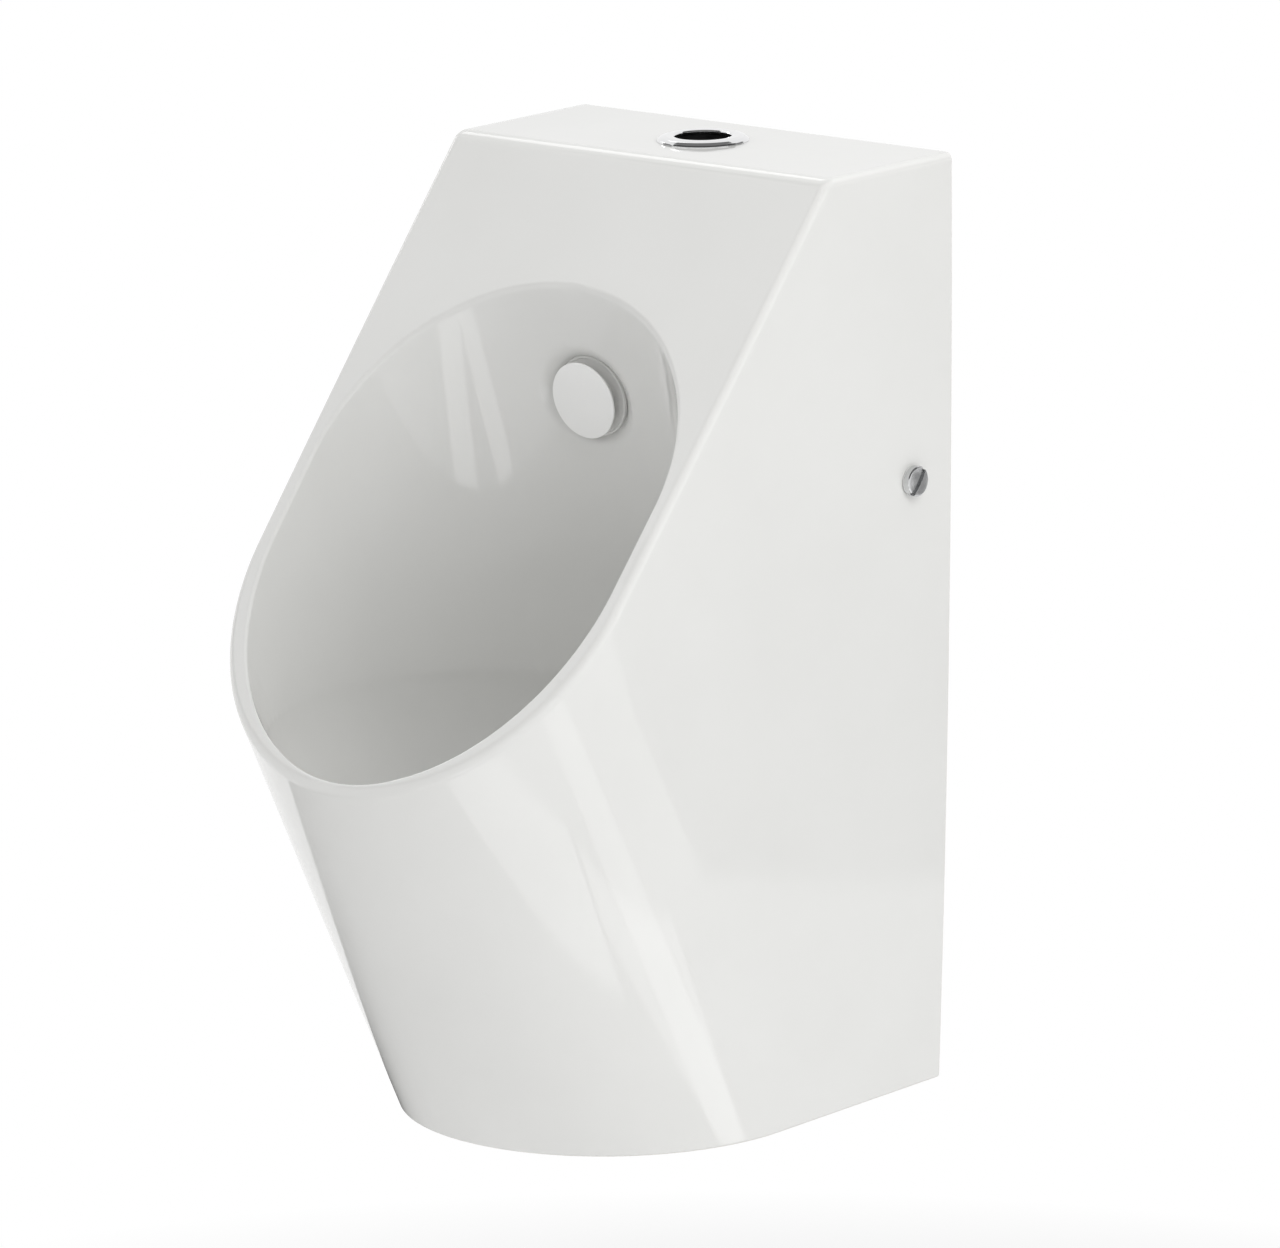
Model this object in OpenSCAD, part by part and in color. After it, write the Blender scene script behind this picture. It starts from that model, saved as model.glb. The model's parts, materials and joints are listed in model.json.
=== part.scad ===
// Wall hung urinal with a top inlet, a concealed trap and side fixing screws.
// Millimetres. The wall is the plane y = 0, the front looks along -Y and +Z is up.
// The origin lies on the wall, in the middle of the four wall fixing holes.
// Heights in this file are taken from the ceramic's foot and moved down by fixing_h at the end.

/* [Ceramic body] */
// Height of the ceramic from foot to top ledge
body_h = 600; // [560:1:660]
// Width across the top
body_w = 308; // [290:1:340]
// Depth of the top ledge
top_d = 120; // [110:1:135]
// Depth from the wall to the lip
lip_d = 416; // [390:1:440]
// Height of the lip's corner
lip_h = 252; // [235:1:270]
// Depth of the front at the foot
foot_d = 295; // [275:1:315]
// Depth of the rounded front at the lip
lip_round_d = 150; // [135:1:165]
// Depth of the rounded front at the foot
foot_round_d = 136; // [125:1:150]
// How far each side draws in from top to foot
side_taper = 17.5; // [10:0.5:22]
// How far each side swells at half height
side_bulge = 3.3; // [1:0.1:5]
// Thickness of the ceramic walls
shell_t = 12; // [10:0.5:14]
// Thickness of the top ledge
ledge_t = 14; // [12:0.5:16]
// Radius of the outer edges
edge_r = 5; // [3:0.5:7]

/* [Bowl] */
// Height from the mouth's upper end to the top ledge
mouth_drop = 74; // [60:1:86]
// Height from the lip's corner to the mouth's lower end
mouth_rise = 6; // [4:0.5:10]
// Share of the mouth's height below its upper arc
arc_top_share = 0.6045; // [0.56:0.0005:0.64]
// Share of the mouth's height below which its lower arc lies
arc_low_share = 0.4403; // [0.40:0.0005:0.48]
// Lean of the back wall from upright, in degrees
back_rake = 10; // [7:0.5:13]
// Lean of the bowl's front wall from upright, in degrees
front_rake = 26.5; // [25:0.5:28]
// Height of the bowl's floor
floor_h = 170; // [166:1:180]
// Height over which the walls round into the floor
floor_round_h = 95; // [85:1:105]
// Radius of the mouth's inner edge
rim_r = 2.5; // [1.5:0.25:3.5]

/* [Water inlet] */
// Distance of the inlet from the wall
inlet_off = 58.5; // [53:0.5:62]
// Outside diameter of the flush pipe that goes in
flush_pipe_d = 35; // [32:0.5:36]
// Outside diameter of the chrome rosette
rosette_d = 58; // [56:1:64]
// Height of the rosette above the ledge
rosette_h = 3.6; // [3.2:0.1:5]
// Outside diameter of the inlet spud's thread
spud_d = 44; // [43:0.5:45]
// Outside diameter of the flush elbow
elbow_d = 32; // [30:0.5:33]
// Bend radius of the flush elbow's middle line
elbow_bend_r = 45; // [42:1:48]

/* [Spreader] */
// Height from the spreader's middle to the mouth's upper end
spreader_drop = 72; // [64:1:82]
// Diameter of the spreader cap
cap_d = 50; // [46:0.5:54]
// Distance of the cap's face from the back wall
cap_out = 6.4; // [5.6:0.2:8]
// Diameter of the round recess behind the cap
recess_d = 60; // [58:0.5:66]
// Depth of that recess
recess_depth = 6.5; // [6:0.5:9]
// Outside diameter of the spreader's tail
tail_d = 32; // [30:0.5:33]

/* [Waste and trap] */
// Distance of the waste from the front at the foot
waste_front = 73; // [72:1:80]
// Outside diameter of the waste flange
waste_flange_d = 76; // [72:1:78]
// Outside diameter of the waste's threaded tail
waste_tail_d = 56; // [54:0.5:57]
// Outside diameter of the trap body
trap_d = 96; // [92:1:100]
// Outside diameter of the trap cup
trap_cup_d = 106; // [104:1:112]
// Height from the outlet pipe's middle line to the bowl's floor
outlet_drop = 86; // [84:1:88]
// Outside diameter of the outlet pipe
outlet_d = 50; // [48:0.5:51]
// Length of outlet pipe that goes into the wall
outlet_in_wall = 45; // [30:1:60]

/* [Wall fixing] */
// Height from the side screws and the middle of the wall fixing holes to the top ledge
fixing_drop = 202; // [190:1:215]
// Distance of the wall fixing holes from the ceramic's side at the top
fixing_in = 54; // [52:1:60]
// Upright spacing of the two holes in one bracket
fixing_v = 60; // [50:1:64]
// Diameter of the wall fixing holes
fixing_hole_d = 9; // [7:0.5:11]
// Thickness of the bracket steel
bracket_t = 3; // [2.5:0.5:4]
// Distance of the side screws from the wall
screw_off = 40; // [38:1:44]
// Thread diameter of the side screws
screw_d = 8; // [6:0.5:9]
// Diameter of the slotted screw head
head_d = 19.5; // [18:0.5:22]
// Thickness of the slotted screw head
head_t = 5.4; // [4:0.2:7]

/* [Hidden] */

// Smoothness of round pieces
$fn = 64;
// Overrun of every cut
over = 10;
// Radial clearance of pieces that turn or slide in each other
run_gap = 0.05;
// Radial clearance of pieces that are screwed or pushed together and stay
seat_gap = 0.1;
// Clearance between the ceramic and what passes through it
hole_gap = 1;

// Heights and places that follow the ceramic
mouth_top_h = body_h - mouth_drop;
mouth_low_h = lip_h + mouth_rise;
arc_top_h = mouth_low_h + (mouth_top_h - mouth_low_h) * arc_top_share;
arc_low_h = mouth_low_h + (mouth_top_h - mouth_low_h) * arc_low_share;
spreader_h = mouth_top_h - spreader_drop;
waste_off = foot_d - waste_front;
fixing_h = body_h - fixing_drop;
outlet_h = floor_h - outlet_drop;
fixing_w = body_w - 2 * fixing_in;

// Shape of the ceramic
slope = (lip_d - top_d) / (body_h - lip_h);
lean = (lip_d - foot_d) / lip_h;
slope_len = sqrt(1 + slope * slope);
lean_len = sqrt(1 + lean * lean);
outer_levels = 6;
outer_step = 6;
bowl_step = 7.5;
rim_step = 25;
bowl_levels = 5;
floor_levels = 6;
// Size of the flat floor round the waste, as a share of the bowl's plan
floor_share = 0.27;
blend_h = floor_h + floor_round_h;
back_lean = tan(back_rake);
front_lean = tan(front_rake);
back_semi = (slope + back_lean) * (mouth_top_h - arc_top_h);
front_semi = (slope + front_lean) * (arc_low_h - mouth_low_h);
round_fn = 20;

// Spreader seat and its boss behind the bowl
boss_edge = 10.5;
boss_d = recess_d + 2 * boss_edge;
boss_back = recess_depth + shell_t;
spreader_flange_t = 3;
spreader_flange_gap = 3.5;
spreader_flange_d = recess_d - 2 * spreader_flange_gap;
spreader_gasket_t = 1.5;
spreader_washer_t = 1;
spreader_nut_t = 9;
spreader_nut_edge = 9;
spreader_nut_d = tail_d + 2 * spreader_nut_edge;
spreader_wall = 3.5;
tail_end_gap = 2;
sleeve_grip = 14;
sleeve_wall = 3;
cap_t = 2.2;
cap_crown = 0.8;
cap_crown_steps = 5;
cap_round = 1;
cap_round_step = 30;
cap_lip = 0.6;
cap_skirt = 5.2;
cap_under = 5;
cap_wall = 2;
leg_len = 18;
leg_wall = 2;
leg_slot = 11;

// Inlet
inlet_hole_d = spud_d + 2 * hole_gap;
inlet_gasket_t = 1;
spud_flange_t = 1.4;
rosette_edge = 3;
spud_flange_d = rosette_d - 2 * rosette_edge;
spud_wall = 2.3;
spud_len = 48;
spud_lip_t = 2.5;
seal_low = 29;
seal_top = inlet_gasket_t + spud_flange_t - seat_gap;
seal_land = 12;
seal_grooves = 3;
seal_groove = 1.2;
seal_pitch = 2.4;
rosette_roof = 1.1;
inlet_nut_t = 9;
inlet_nut_edge = 11;
inlet_nut_d = spud_d + 2 * inlet_nut_edge;
elbow_wall = 2;
elbow_seal_t = 6;
elbow_into_spud = 16;
bead_t = 1.5;
bead_d = elbow_d + 2 * bead_t;
bead_w = 2;

// Waste
waste_hole_d = waste_tail_d + 2 * hole_gap;
waste_recess_depth = 4.5;
waste_recess_gap = 2;
waste_ledge_h = floor_h - waste_recess_depth;
waste_recess_d = waste_flange_d + 2 * waste_recess_gap;
waste_gasket_t = 1.5;
waste_flange_t = 2.5;
waste_boss_d = 100;
waste_boss_t = 20;
waste_boss_h = floor_h - waste_boss_t;
waste_wall = 5;
waste_bore_d = waste_tail_d - 2 * waste_wall;
strainer_seat_wall = 2;
strainer_seat_d = waste_tail_d - 2 * strainer_seat_wall;
strainer_seat_t = 3;
strainer_t = 2.5;
strainer_skirt = 12;
strainer_hole_d = 5;
strainer_pitch = 8;
strainer_gap = 0.3;
strainer_wall = 2;
strainer_rings = 2;
bottom_gasket_t = 3;
waste_nut_t = 9;
waste_nut_d = 80;
nut_lug_d = 9;
nut_lugs = 6;
waste_tail_len = 47;
waste_tail_h = floor_h - waste_tail_len;

// Trap
trap_wall = 3;
union_seal_t = 2;
union_lip_t = 3;
neck_d = waste_tail_d - 2 * trap_wall;
neck_flange_gap = 0.5;
neck_flange_d = waste_tail_d - 2 * neck_flange_gap;
neck_flange_t = 3;
neck_top = waste_tail_h - union_seal_t;
union_nut_wall = 7;
union_nut_d = waste_tail_d + 2 * union_nut_wall;
union_grip = 10;
dip_wall = 1.8;
dip_d = neck_d - 2 * trap_wall;
dip_rim_t = 1.5;
dip_bottom_h = 20;
trap_head = 5;
trap_top_h = outlet_h + outlet_d / 2 + trap_head;
trap_roof_t = 4;
trap_low_h = 34;
cup_low_h = 4;
cup_top_h = 50;
cup_collar_h = 26;
cup_waist_d = trap_d;
cup_taper = 11;
cup_foot_d = trap_d - 2 * cup_taper;
cup_wall = 4;
cup_seal_t = 3;
cup_ribs = 24;
cup_rib_d = 5;
stub_wall = 2.8;
stub_len = 40;
pipe_wall = 2;
pipe_in = 25;
outlet_seal_t = 5;
outlet_nut_edge = 11;
outlet_nut_d = outlet_d + 2 * outlet_nut_edge;
outlet_nut_len = 22;
outlet_lip_t = 3;
stop_t = 2;
stop_w = 3;
stop_gap = 2;

// Fixing
bracket_w = 42;
bracket_v = 90;
lug_v = 44;
lug_edge = 18;
lug_off = screw_off + lug_edge;
weld_nut_d = 20;
weld_nut_t = 8;
side_gap = 0.5;
bush_hole_d = 14;
bush_flange_d = 24;
washer_edge = 0.3;
washer_d = head_d - 2 * washer_edge;
washer_t = 0.8;
head_chamfer = 1.2;
slot_w = 3.4;
slot_depth = 3;
slot_turn = -32;
screw_tip = 3;
screw_side_x = half_w(fixing_h);
side_inner_x = screw_side_x - shell_t;
lug_gap = 9;
lug_x = side_inner_x - lug_gap;

// Half width of the ceramic at height z
function half_w(z) =
    body_w / 2 - side_taper * (1 - z / body_h) + 4 * side_bulge * z * (body_h - z) / (body_h * body_h);

// Distance of the front wall from the wall plane at height z
function front_off(z) = foot_d + lean * z;

// Depth of the rounded part of the plan at height z
function round_off(z) = foot_round_d + (lip_round_d - foot_round_d) * z / lip_h;

// Place of the sloped face at height z
function face_y(z) = -top_d - (body_h - z) * slope;

// Places of the bowl's back and front wall on the middle plane at height z
function bowl_back(z) = face_y(mouth_top_h) + (mouth_top_h - z) * back_lean;
function bowl_front(z) = face_y(mouth_low_h) + (mouth_low_h - z) * front_lean;
function bowl_mid(z) = (bowl_back(z) + bowl_front(z)) / 2;

// U-shaped plan of the ceramic at height z, drawn in by inset
function outer_ring(z, inset) =
    let (w = half_w(z) - inset, r = round_off(z) - inset, d = front_off(z) - inset * lean_len)
    concat(
        [[w, over, z]],
        [for (a = [0:outer_step:180]) [w * cos(a), -(d - r) - r * sin(a), z]],
        [[-w, over, z]]
    );

// Plan of the bowl at height z, grown by grow
function bowl_ring(z, grow) =
    let (w = half_w(z) - shell_t + grow, yb = bowl_back(z) - back_semi, yf = bowl_front(z) + front_semi)
    concat(
        [for (a = [0:bowl_step:180]) [w * cos(a), yb + (back_semi + grow) * sin(a), z]],
        [for (a = [180:bowl_step:360]) [w * cos(a), yf + (front_semi + grow) * sin(a), z]]
    );

// Plan of the rounded floor at the turn a of its quarter arc, drawn back towards the waste
function floor_ring(a, grow) =
    let (
        z = blend_h - (floor_round_h + grow) * sin(a),
        s = floor_share + (1 - floor_share) * cos(a),
        y = bowl_mid(z) - (waste_off + bowl_mid(floor_h)) * (1 - cos(a))
    )
    [for (p = bowl_ring(blend_h, grow)) [p[0] * s, y + (p[1] - bowl_mid(blend_h)) * s, z]];

// Edge of the mouth at the depth t behind the sloped face, grown by grow
function rim_ring(t, grow) =
    let (
        zb = arc_top_h - t * slope_len / (slope + back_lean),
        zf = arc_low_h - t * slope_len / (slope + front_lean),
        hb = mouth_top_h - arc_top_h + grow / slope_len,
        hf = arc_low_h - mouth_low_h + grow / slope_len
    )
    concat(
        [for (a = [0:bowl_step:180]) rim_point(a, zb + hb * sin(a), t, grow)],
        [for (a = [180:bowl_step:360]) rim_point(a, zf + hf * sin(a), t, grow)]
    );
function rim_point(a, z, t, grow) =
    [(half_w(z) - shell_t + grow) * cos(a), face_y(z) + t * slope_len, z];

// Closed solid through rings of points that share one count
module loft(rings) {
    n = len(rings[0]);
    m = len(rings);
    polyhedron(
        points = [for (ring = rings) each ring],
        faces = concat(
            [[for (i = [0:n - 1]) i]],
            [for (k = [0:m - 2]) for (i = [0:n - 1])
                [k * n + i, (k + 1) * n + i, (k + 1) * n + (i + 1) % n, k * n + (i + 1) % n]],
            [[for (i = [n - 1:-1:0]) (m - 1) * n + i]]
        ),
        convexity = 6
    );
}

// Round tube between two heights
module tube(d_out, d_in, z0, z1) {
    difference() {
        translate([0, 0, z0]) cylinder(d = d_out, h = z1 - z0);
        translate([0, 0, z0 - over]) cylinder(d = d_in, h = z1 - z0 + 2 * over);
    }
}

// Moves a piece from heights above the foot to heights from the origin
module hang() {
    translate([0, 0, -fixing_h]) children();
}

// Middle line of the inlet, with its height zero at the top ledge
module at_inlet() {
    hang() translate([0, -inlet_off, body_h]) children();
}

// Middle line of the spreader: z points out of the back wall, with its zero on the wall
module on_back_wall() {
    translate([0, bowl_back(spreader_h), spreader_h]) rotate([90 + back_rake, 0, 0]) children();
}

module at_spreader() {
    hang() on_back_wall() children();
}

// Middle line of the waste
module at_waste() {
    hang() translate([0, -waste_off, 0]) children();
}

// Middle line of the outlet pipe: z points from the trap to the wall, with its zero on the trap's axis
module at_outlet() {
    hang() translate([0, -waste_off, outlet_h]) rotate([-90, 0, 0]) children();
}

// One side's fixing: x points outward from the middle plane
module at_side(side) {
    mirror([side < 0 ? 1 : 0, 0, 0]) children();
}

// Middle line of one side screw: z points outward, with its zero on the middle plane
module at_screw(side) {
    at_side(side) translate([0, -screw_off, 0]) rotate([0, 90, 0]) children();
}

// Space behind the sloped face and under the ledge
module side_cut(inset, top_inset) {
    top_z = body_h - top_inset;
    rotate([90, 0, 90]) linear_extrude(body_w + 2 * over, center = true)
        polygon([
            [over, -over],
            [over, top_z],
            [face_y(top_z) + inset * slope_len, top_z],
            [face_y(-over) + inset * slope_len, -over]
        ]);
}

// Cut that rounds the inner edge of the mouth
module rim_cut() {
    loft(concat(
        [rim_ring(2 * rim_r, -rim_r)],
        [for (a = [3 * rim_step:-rim_step:0]) rim_ring(rim_r * (1 - cos(a)), rim_r * (1 - sin(a)))],
        [rim_ring(-over, rim_r)]
    ));
}

// Outer form of the ceramic, drawn in by inset and open past the wall and the foot
module outer_core(inset, top_inset) {
    intersection() {
        hull() loft([for (k = [-1:outer_levels]) outer_ring(k < 0 ? -over : k * body_h / outer_levels, inset)]);
        side_cut(inset, top_inset);
    }
}

// Outer form of the ceramic with rounded edges, cut flat at the wall and the foot
module outer_body() {
    intersection() {
        minkowski() {
            outer_core(edge_r, edge_r);
            sphere(edge_r, $fn = round_fn);
        }
        translate([-body_w, -lip_d - over, 0]) cube([2 * body_w, lip_d + over, body_h + over]);
    }
}

// Inside of the bowl, grown by grow
module bowl(grow) {
    loft(concat(
        [for (k = [floor_levels:-1:1]) floor_ring(90 * k / floor_levels, grow)],
        [for (k = [0:bowl_levels])
            bowl_ring(blend_h + k * (mouth_top_h + over - blend_h) / bowl_levels, grow)]
    ));
}

// Hollow back of the ceramic, round the bowl and the two bosses
module back_hollow() {
    difference() {
        outer_core(shell_t, ledge_t);
        bowl(shell_t);
        on_back_wall() translate([0, 0, -boss_back]) cylinder(d = boss_d, h = boss_back);
        translate([0, -waste_off, waste_boss_h]) cylinder(d = waste_boss_d, h = shell_t + over);
    }
}

module ceramic_body() color("white") hang() {
    difference() {
        outer_body();
        back_hollow();
        bowl(0);
        rim_cut();
        on_back_wall() translate([0, 0, -recess_depth]) cylinder(d = recess_d, h = recess_depth + over);
        on_back_wall() translate([0, 0, -boss_back - over])
            cylinder(d = tail_d + 2 * hole_gap, h = boss_back + over);
        translate([0, -inlet_off, body_h - ledge_t - over]) cylinder(d = inlet_hole_d, h = ledge_t + 2 * over);
        translate([0, -waste_off, waste_ledge_h]) cylinder(d = waste_recess_d, h = floor_h - waste_ledge_h + over);
        translate([0, -waste_off, waste_boss_h - over]) cylinder(d = waste_hole_d, h = shell_t + 2 * over);
        for (side = [-1, 1])
            translate([0, 0, fixing_h]) at_screw(side) translate([0, 0, side_inner_x - over])
                cylinder(d = bush_hole_d, h = shell_t + 2 * over);
    }
}

// Domed chrome ring that hides the spud's flange
module inlet_rosette() color("silver") at_inlet() {
    bore_r = flush_pipe_d / 2 + hole_gap / 2;
    rim_r = rosette_d / 2;
    shelf = inlet_gasket_t + spud_flange_t;
    difference() {
        rotate_extrude() {
            intersection() {
                translate([bore_r, 0]) square([rim_r - bore_r, rosette_h]);
                translate([(bore_r + rim_r) / 2, 0]) scale([(rim_r - bore_r) / 2, rosette_h]) circle(1);
            }
            translate([bore_r, 0]) square([(rim_r - bore_r) / 2, rosette_h - rosette_roof]);
        }
        translate([0, 0, -over]) cylinder(d = spud_flange_d + 2 * seat_gap, h = over + shelf);
    }
}

module inlet_gasket() color("dimgray") at_inlet()
    tube(spud_flange_d, inlet_hole_d, 0, inlet_gasket_t);

// Threaded bush with its flange on the ledge and an inner lip at its lower end
module inlet_spud() color("whitesmoke") at_inlet() {
    bore_d = spud_d - 2 * spud_wall;
    difference() {
        union() {
            translate([0, 0, inlet_gasket_t]) cylinder(d = spud_flange_d, h = spud_flange_t);
            translate([0, 0, -spud_len]) cylinder(d = spud_d, h = spud_len + inlet_gasket_t + spud_flange_t);
        }
        translate([0, 0, -spud_len + spud_lip_t]) cylinder(d = bore_d, h = spud_len + over);
        translate([0, 0, -spud_len - over]) cylinder(d = elbow_d + 2 * seat_gap, h = 2 * over);
    }
}

// Rubber seal that grips the flush pipe, with grooves above its plain land and a funnel at its top
module inlet_lip_seal() color("black") at_inlet() {
    groove_d = flush_pipe_d + 2 * seal_groove;
    funnel_z = -seal_low + seal_land + seal_grooves * seal_pitch;
    difference() {
        tube(spud_d - 2 * spud_wall - 2 * seat_gap, flush_pipe_d, -seal_low, seal_top);
        for (k = [0:seal_grooves - 1])
            translate([0, 0, -seal_low + seal_land + k * seal_pitch]) cylinder(d = groove_d, h = seal_pitch / 2);
        translate([0, 0, funnel_z]) cylinder(d1 = flush_pipe_d, d2 = groove_d, h = seal_top - funnel_z);
    }
}

module inlet_lock_nut() color("whitesmoke") at_inlet()
    difference() {
        translate([0, 0, -ledge_t - inlet_nut_t]) cylinder(d = inlet_nut_d, h = inlet_nut_t, $fn = 6);
        translate([0, 0, -ledge_t - inlet_nut_t - over]) cylinder(d = spud_d + 2 * seat_gap, h = inlet_nut_t + 2 * over);
    }

// Distance along the spreader's line from the back wall to the inlet's line
elbow_reach = (-inlet_off - bowl_back(spreader_h)) / cos(back_rake);
elbow_turn = 90 - back_rake;
elbow_tangent = elbow_bend_r * tan(elbow_turn / 2);
elbow_corner_h = spreader_h + elbow_reach * sin(back_rake);
elbow_bend_z = elbow_corner_h + elbow_tangent;
elbow_end_len = 15.3;
// Distance of the spreader tail's end from the back wall
tail_back = elbow_reach - elbow_tangent - elbow_end_len - tail_end_gap;

// Puts a piece at the bend's end, with z along the run to the spreader
module at_bend_end() {
    rotate(elbow_turn) translate([elbow_bend_r, 0, 0]) rotate([-90, 0, 0]) children();
}

// Pipe of the flush elbow: a drop, a bend and a short run to the spreader
module elbow_run(d, extra) {
    drop = body_h - spud_len + elbow_into_spud - elbow_bend_z;
    rotate_extrude(angle = elbow_turn) translate([elbow_bend_r, 0]) circle(d = d);
    translate([elbow_bend_r, 0, 0]) rotate([90, 0, 0]) cylinder(d = d, h = drop + extra);
    at_bend_end() cylinder(d = d, h = elbow_end_len + extra);
}

// Flush elbow with a bead that stops the sleeve
module flush_elbow() color("lightgray") hang()
    translate([0, -inlet_off - elbow_bend_r, elbow_bend_z]) rotate([-90, 0, 90])
        difference() {
            union() {
                elbow_run(elbow_d, 0);
                at_bend_end() translate([0, 0, -bead_w / 2]) cylinder(d = bead_d, h = bead_w);
            }
            elbow_run(elbow_d - 2 * elbow_wall, over / 2);
        }

module flush_elbow_seal() color("black") at_inlet()
    tube(spud_d - 2 * spud_wall - 2 * seat_gap, elbow_d + 2 * seat_gap,
        -spud_len + spud_lip_t, -spud_len + spud_lip_t + elbow_seal_t);

// Flange and threaded tail of the spreader
module spreader_body() color("whitesmoke") at_spreader() {
    seat_z = -recess_depth + spreader_gasket_t;
    difference() {
        union() {
            translate([0, 0, seat_z]) cylinder(d = spreader_flange_d, h = spreader_flange_t);
            translate([0, 0, -tail_back]) cylinder(d = tail_d, h = tail_back + seat_z + spreader_flange_t);
        }
        translate([0, 0, -tail_back - over]) cylinder(d = tail_d - 2 * spreader_wall, h = tail_back + 2 * over);
    }
}

module spreader_gasket() color("dimgray") at_spreader()
    tube(spreader_flange_d - 2 * hole_gap, tail_d + 2 * hole_gap, -recess_depth, -recess_depth + spreader_gasket_t);

module spreader_washer() color("dimgray") at_spreader()
    tube(spreader_nut_d, tail_d + 2 * hole_gap, -boss_back - spreader_washer_t, -boss_back);

module spreader_lock_nut() color("whitesmoke") at_spreader() {
    top_z = -boss_back - spreader_washer_t;
    difference() {
        translate([0, 0, top_z - spreader_nut_t]) cylinder(d = spreader_nut_d, h = spreader_nut_t, $fn = 6);
        translate([0, 0, top_z - spreader_nut_t - over])
            cylinder(d = tail_d + 2 * seat_gap, h = spreader_nut_t + 2 * over);
    }
}

// Rubber sleeve over the tail's end and the elbow's end
module spreader_sleeve_seal() color("black") at_spreader()
    tube(tail_d + 2 * sleeve_wall, tail_d + 2 * seat_gap,
        -tail_back - tail_end_gap - sleeve_grip, -tail_back + sleeve_grip);

// Crowned cap with a thin lip, an undercut skirt and four legs that clip into the tail
module spreader_cap() color("white") at_spreader() {
    flat_r = cap_d / 2 - cap_round;
    edge_z = cap_out - cap_crown - cap_round;
    neck_r = cap_d / 2 - cap_under;
    leg_d = tail_d - 2 * spreader_wall - 2 * run_gap;
    leg_low = -recess_depth + spreader_gasket_t + spreader_flange_t - leg_len;
    leg_top = cap_out - cap_t / 2;
    difference() {
        rotate_extrude() polygon(concat(
            [[0, cap_out - cap_skirt], [neck_r, cap_out - cap_skirt], [cap_d / 2, edge_z - cap_lip]],
            [for (a = [0:cap_round_step:60]) [flat_r + cap_round * cos(a), edge_z + cap_round * sin(a)]],
            [for (k = [cap_crown_steps:-1:0])
                [flat_r * k / cap_crown_steps, cap_out - cap_crown * k * k / (cap_crown_steps * cap_crown_steps)]]
        ));
        translate([0, 0, cap_out - cap_skirt - over])
            cylinder(d = 2 * neck_r - 2 * cap_wall, h = cap_skirt - cap_t + over);
    }
    difference() {
        tube(leg_d, leg_d - 2 * leg_wall, leg_low, leg_top);
        for (turn = [0, 90])
            rotate(turn) translate([-cap_d / 2, -leg_slot / 2, leg_low - over])
                cube([cap_d, leg_slot, cap_out - cap_t - leg_low + over]);
    }
}

// Chrome outlet in the bowl's floor, with a seat for the strainer
module waste_flange() color("silver") at_waste() {
    seat_z = waste_ledge_h + waste_gasket_t;
    top_z = seat_z + waste_flange_t;
    difference() {
        union() {
            translate([0, 0, seat_z]) cylinder(d1 = waste_flange_d, d2 = waste_flange_d - waste_flange_t, h = waste_flange_t);
            translate([0, 0, waste_tail_h]) cylinder(d = waste_tail_d, h = top_z - waste_tail_h);
        }
        translate([0, 0, waste_tail_h - over]) cylinder(d = waste_bore_d, h = top_z - waste_tail_h + 2 * over);
        translate([0, 0, top_z - strainer_seat_t]) cylinder(d = strainer_seat_d, h = strainer_seat_t + over);
    }
}

module waste_top_gasket() color("dimgray") at_waste()
    tube(waste_flange_d - 2 * hole_gap, waste_hole_d, waste_ledge_h, waste_ledge_h + waste_gasket_t);

module waste_bottom_gasket() color("dimgray") at_waste()
    tube(waste_nut_d, waste_hole_d, waste_boss_h - bottom_gasket_t, waste_boss_h);

// Round nut with lugs for a spanner
module waste_lock_nut() color("whitesmoke") at_waste() {
    top_z = waste_boss_h - bottom_gasket_t;
    difference() {
        union() {
            translate([0, 0, top_z - waste_nut_t]) cylinder(d = waste_nut_d, h = waste_nut_t);
            for (k = [1:nut_lugs])
                rotate(k * 360 / nut_lugs) translate([waste_nut_d / 2, 0, top_z - waste_nut_t])
                    cylinder(d = nut_lug_d, h = waste_nut_t);
        }
        translate([0, 0, top_z - waste_nut_t - over]) cylinder(d = waste_tail_d + 2 * seat_gap, h = waste_nut_t + 2 * over);
    }
}

// Perforated disc with a skirt that stands in the waste flange
module waste_strainer() color("silver") at_waste() {
    seat_z = waste_ledge_h + waste_gasket_t + waste_flange_t - strainer_seat_t;
    skirt_d = waste_bore_d - 2 * strainer_gap;
    difference() {
        translate([0, 0, seat_z]) cylinder(d = strainer_seat_d - 2 * strainer_gap, h = strainer_t);
        for (ring = [0:strainer_rings]) for (k = [1:max(1, 6 * ring)])
            rotate(k * 360 / max(1, 6 * ring)) translate([ring * strainer_pitch, 0, seat_z - over])
                cylinder(d = strainer_hole_d, h = strainer_t + 2 * over, $fn = 24);
    }
    tube(skirt_d, skirt_d - 2 * strainer_wall, seat_z - strainer_skirt, seat_z);
}

// Ribbed nut that pulls the trap's neck up to the waste's tail
module trap_union_nut() color("whitesmoke") at_waste() {
    flange_z = neck_top - neck_flange_t;
    difference() {
        union() {
            translate([0, 0, flange_z - union_lip_t])
                cylinder(d = union_nut_d, h = union_lip_t + neck_flange_t + union_seal_t + union_grip);
            for (k = [1:cup_ribs / 2])
                rotate(k * 720 / cup_ribs) translate([union_nut_d / 2, 0, flange_z - union_lip_t])
                    cylinder(d = cup_rib_d, h = union_lip_t + neck_flange_t + union_seal_t + union_grip);
        }
        translate([0, 0, flange_z]) cylinder(d = waste_tail_d + 2 * seat_gap, h = union_nut_d);
        translate([0, 0, flange_z - union_lip_t - over]) cylinder(d = neck_d + 2 * hole_gap, h = 2 * over);
    }
}

module trap_union_seal() color("black") at_waste()
    tube(neck_flange_d, dip_d - 2 * dip_wall, neck_top, neck_top + union_seal_t);

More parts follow.
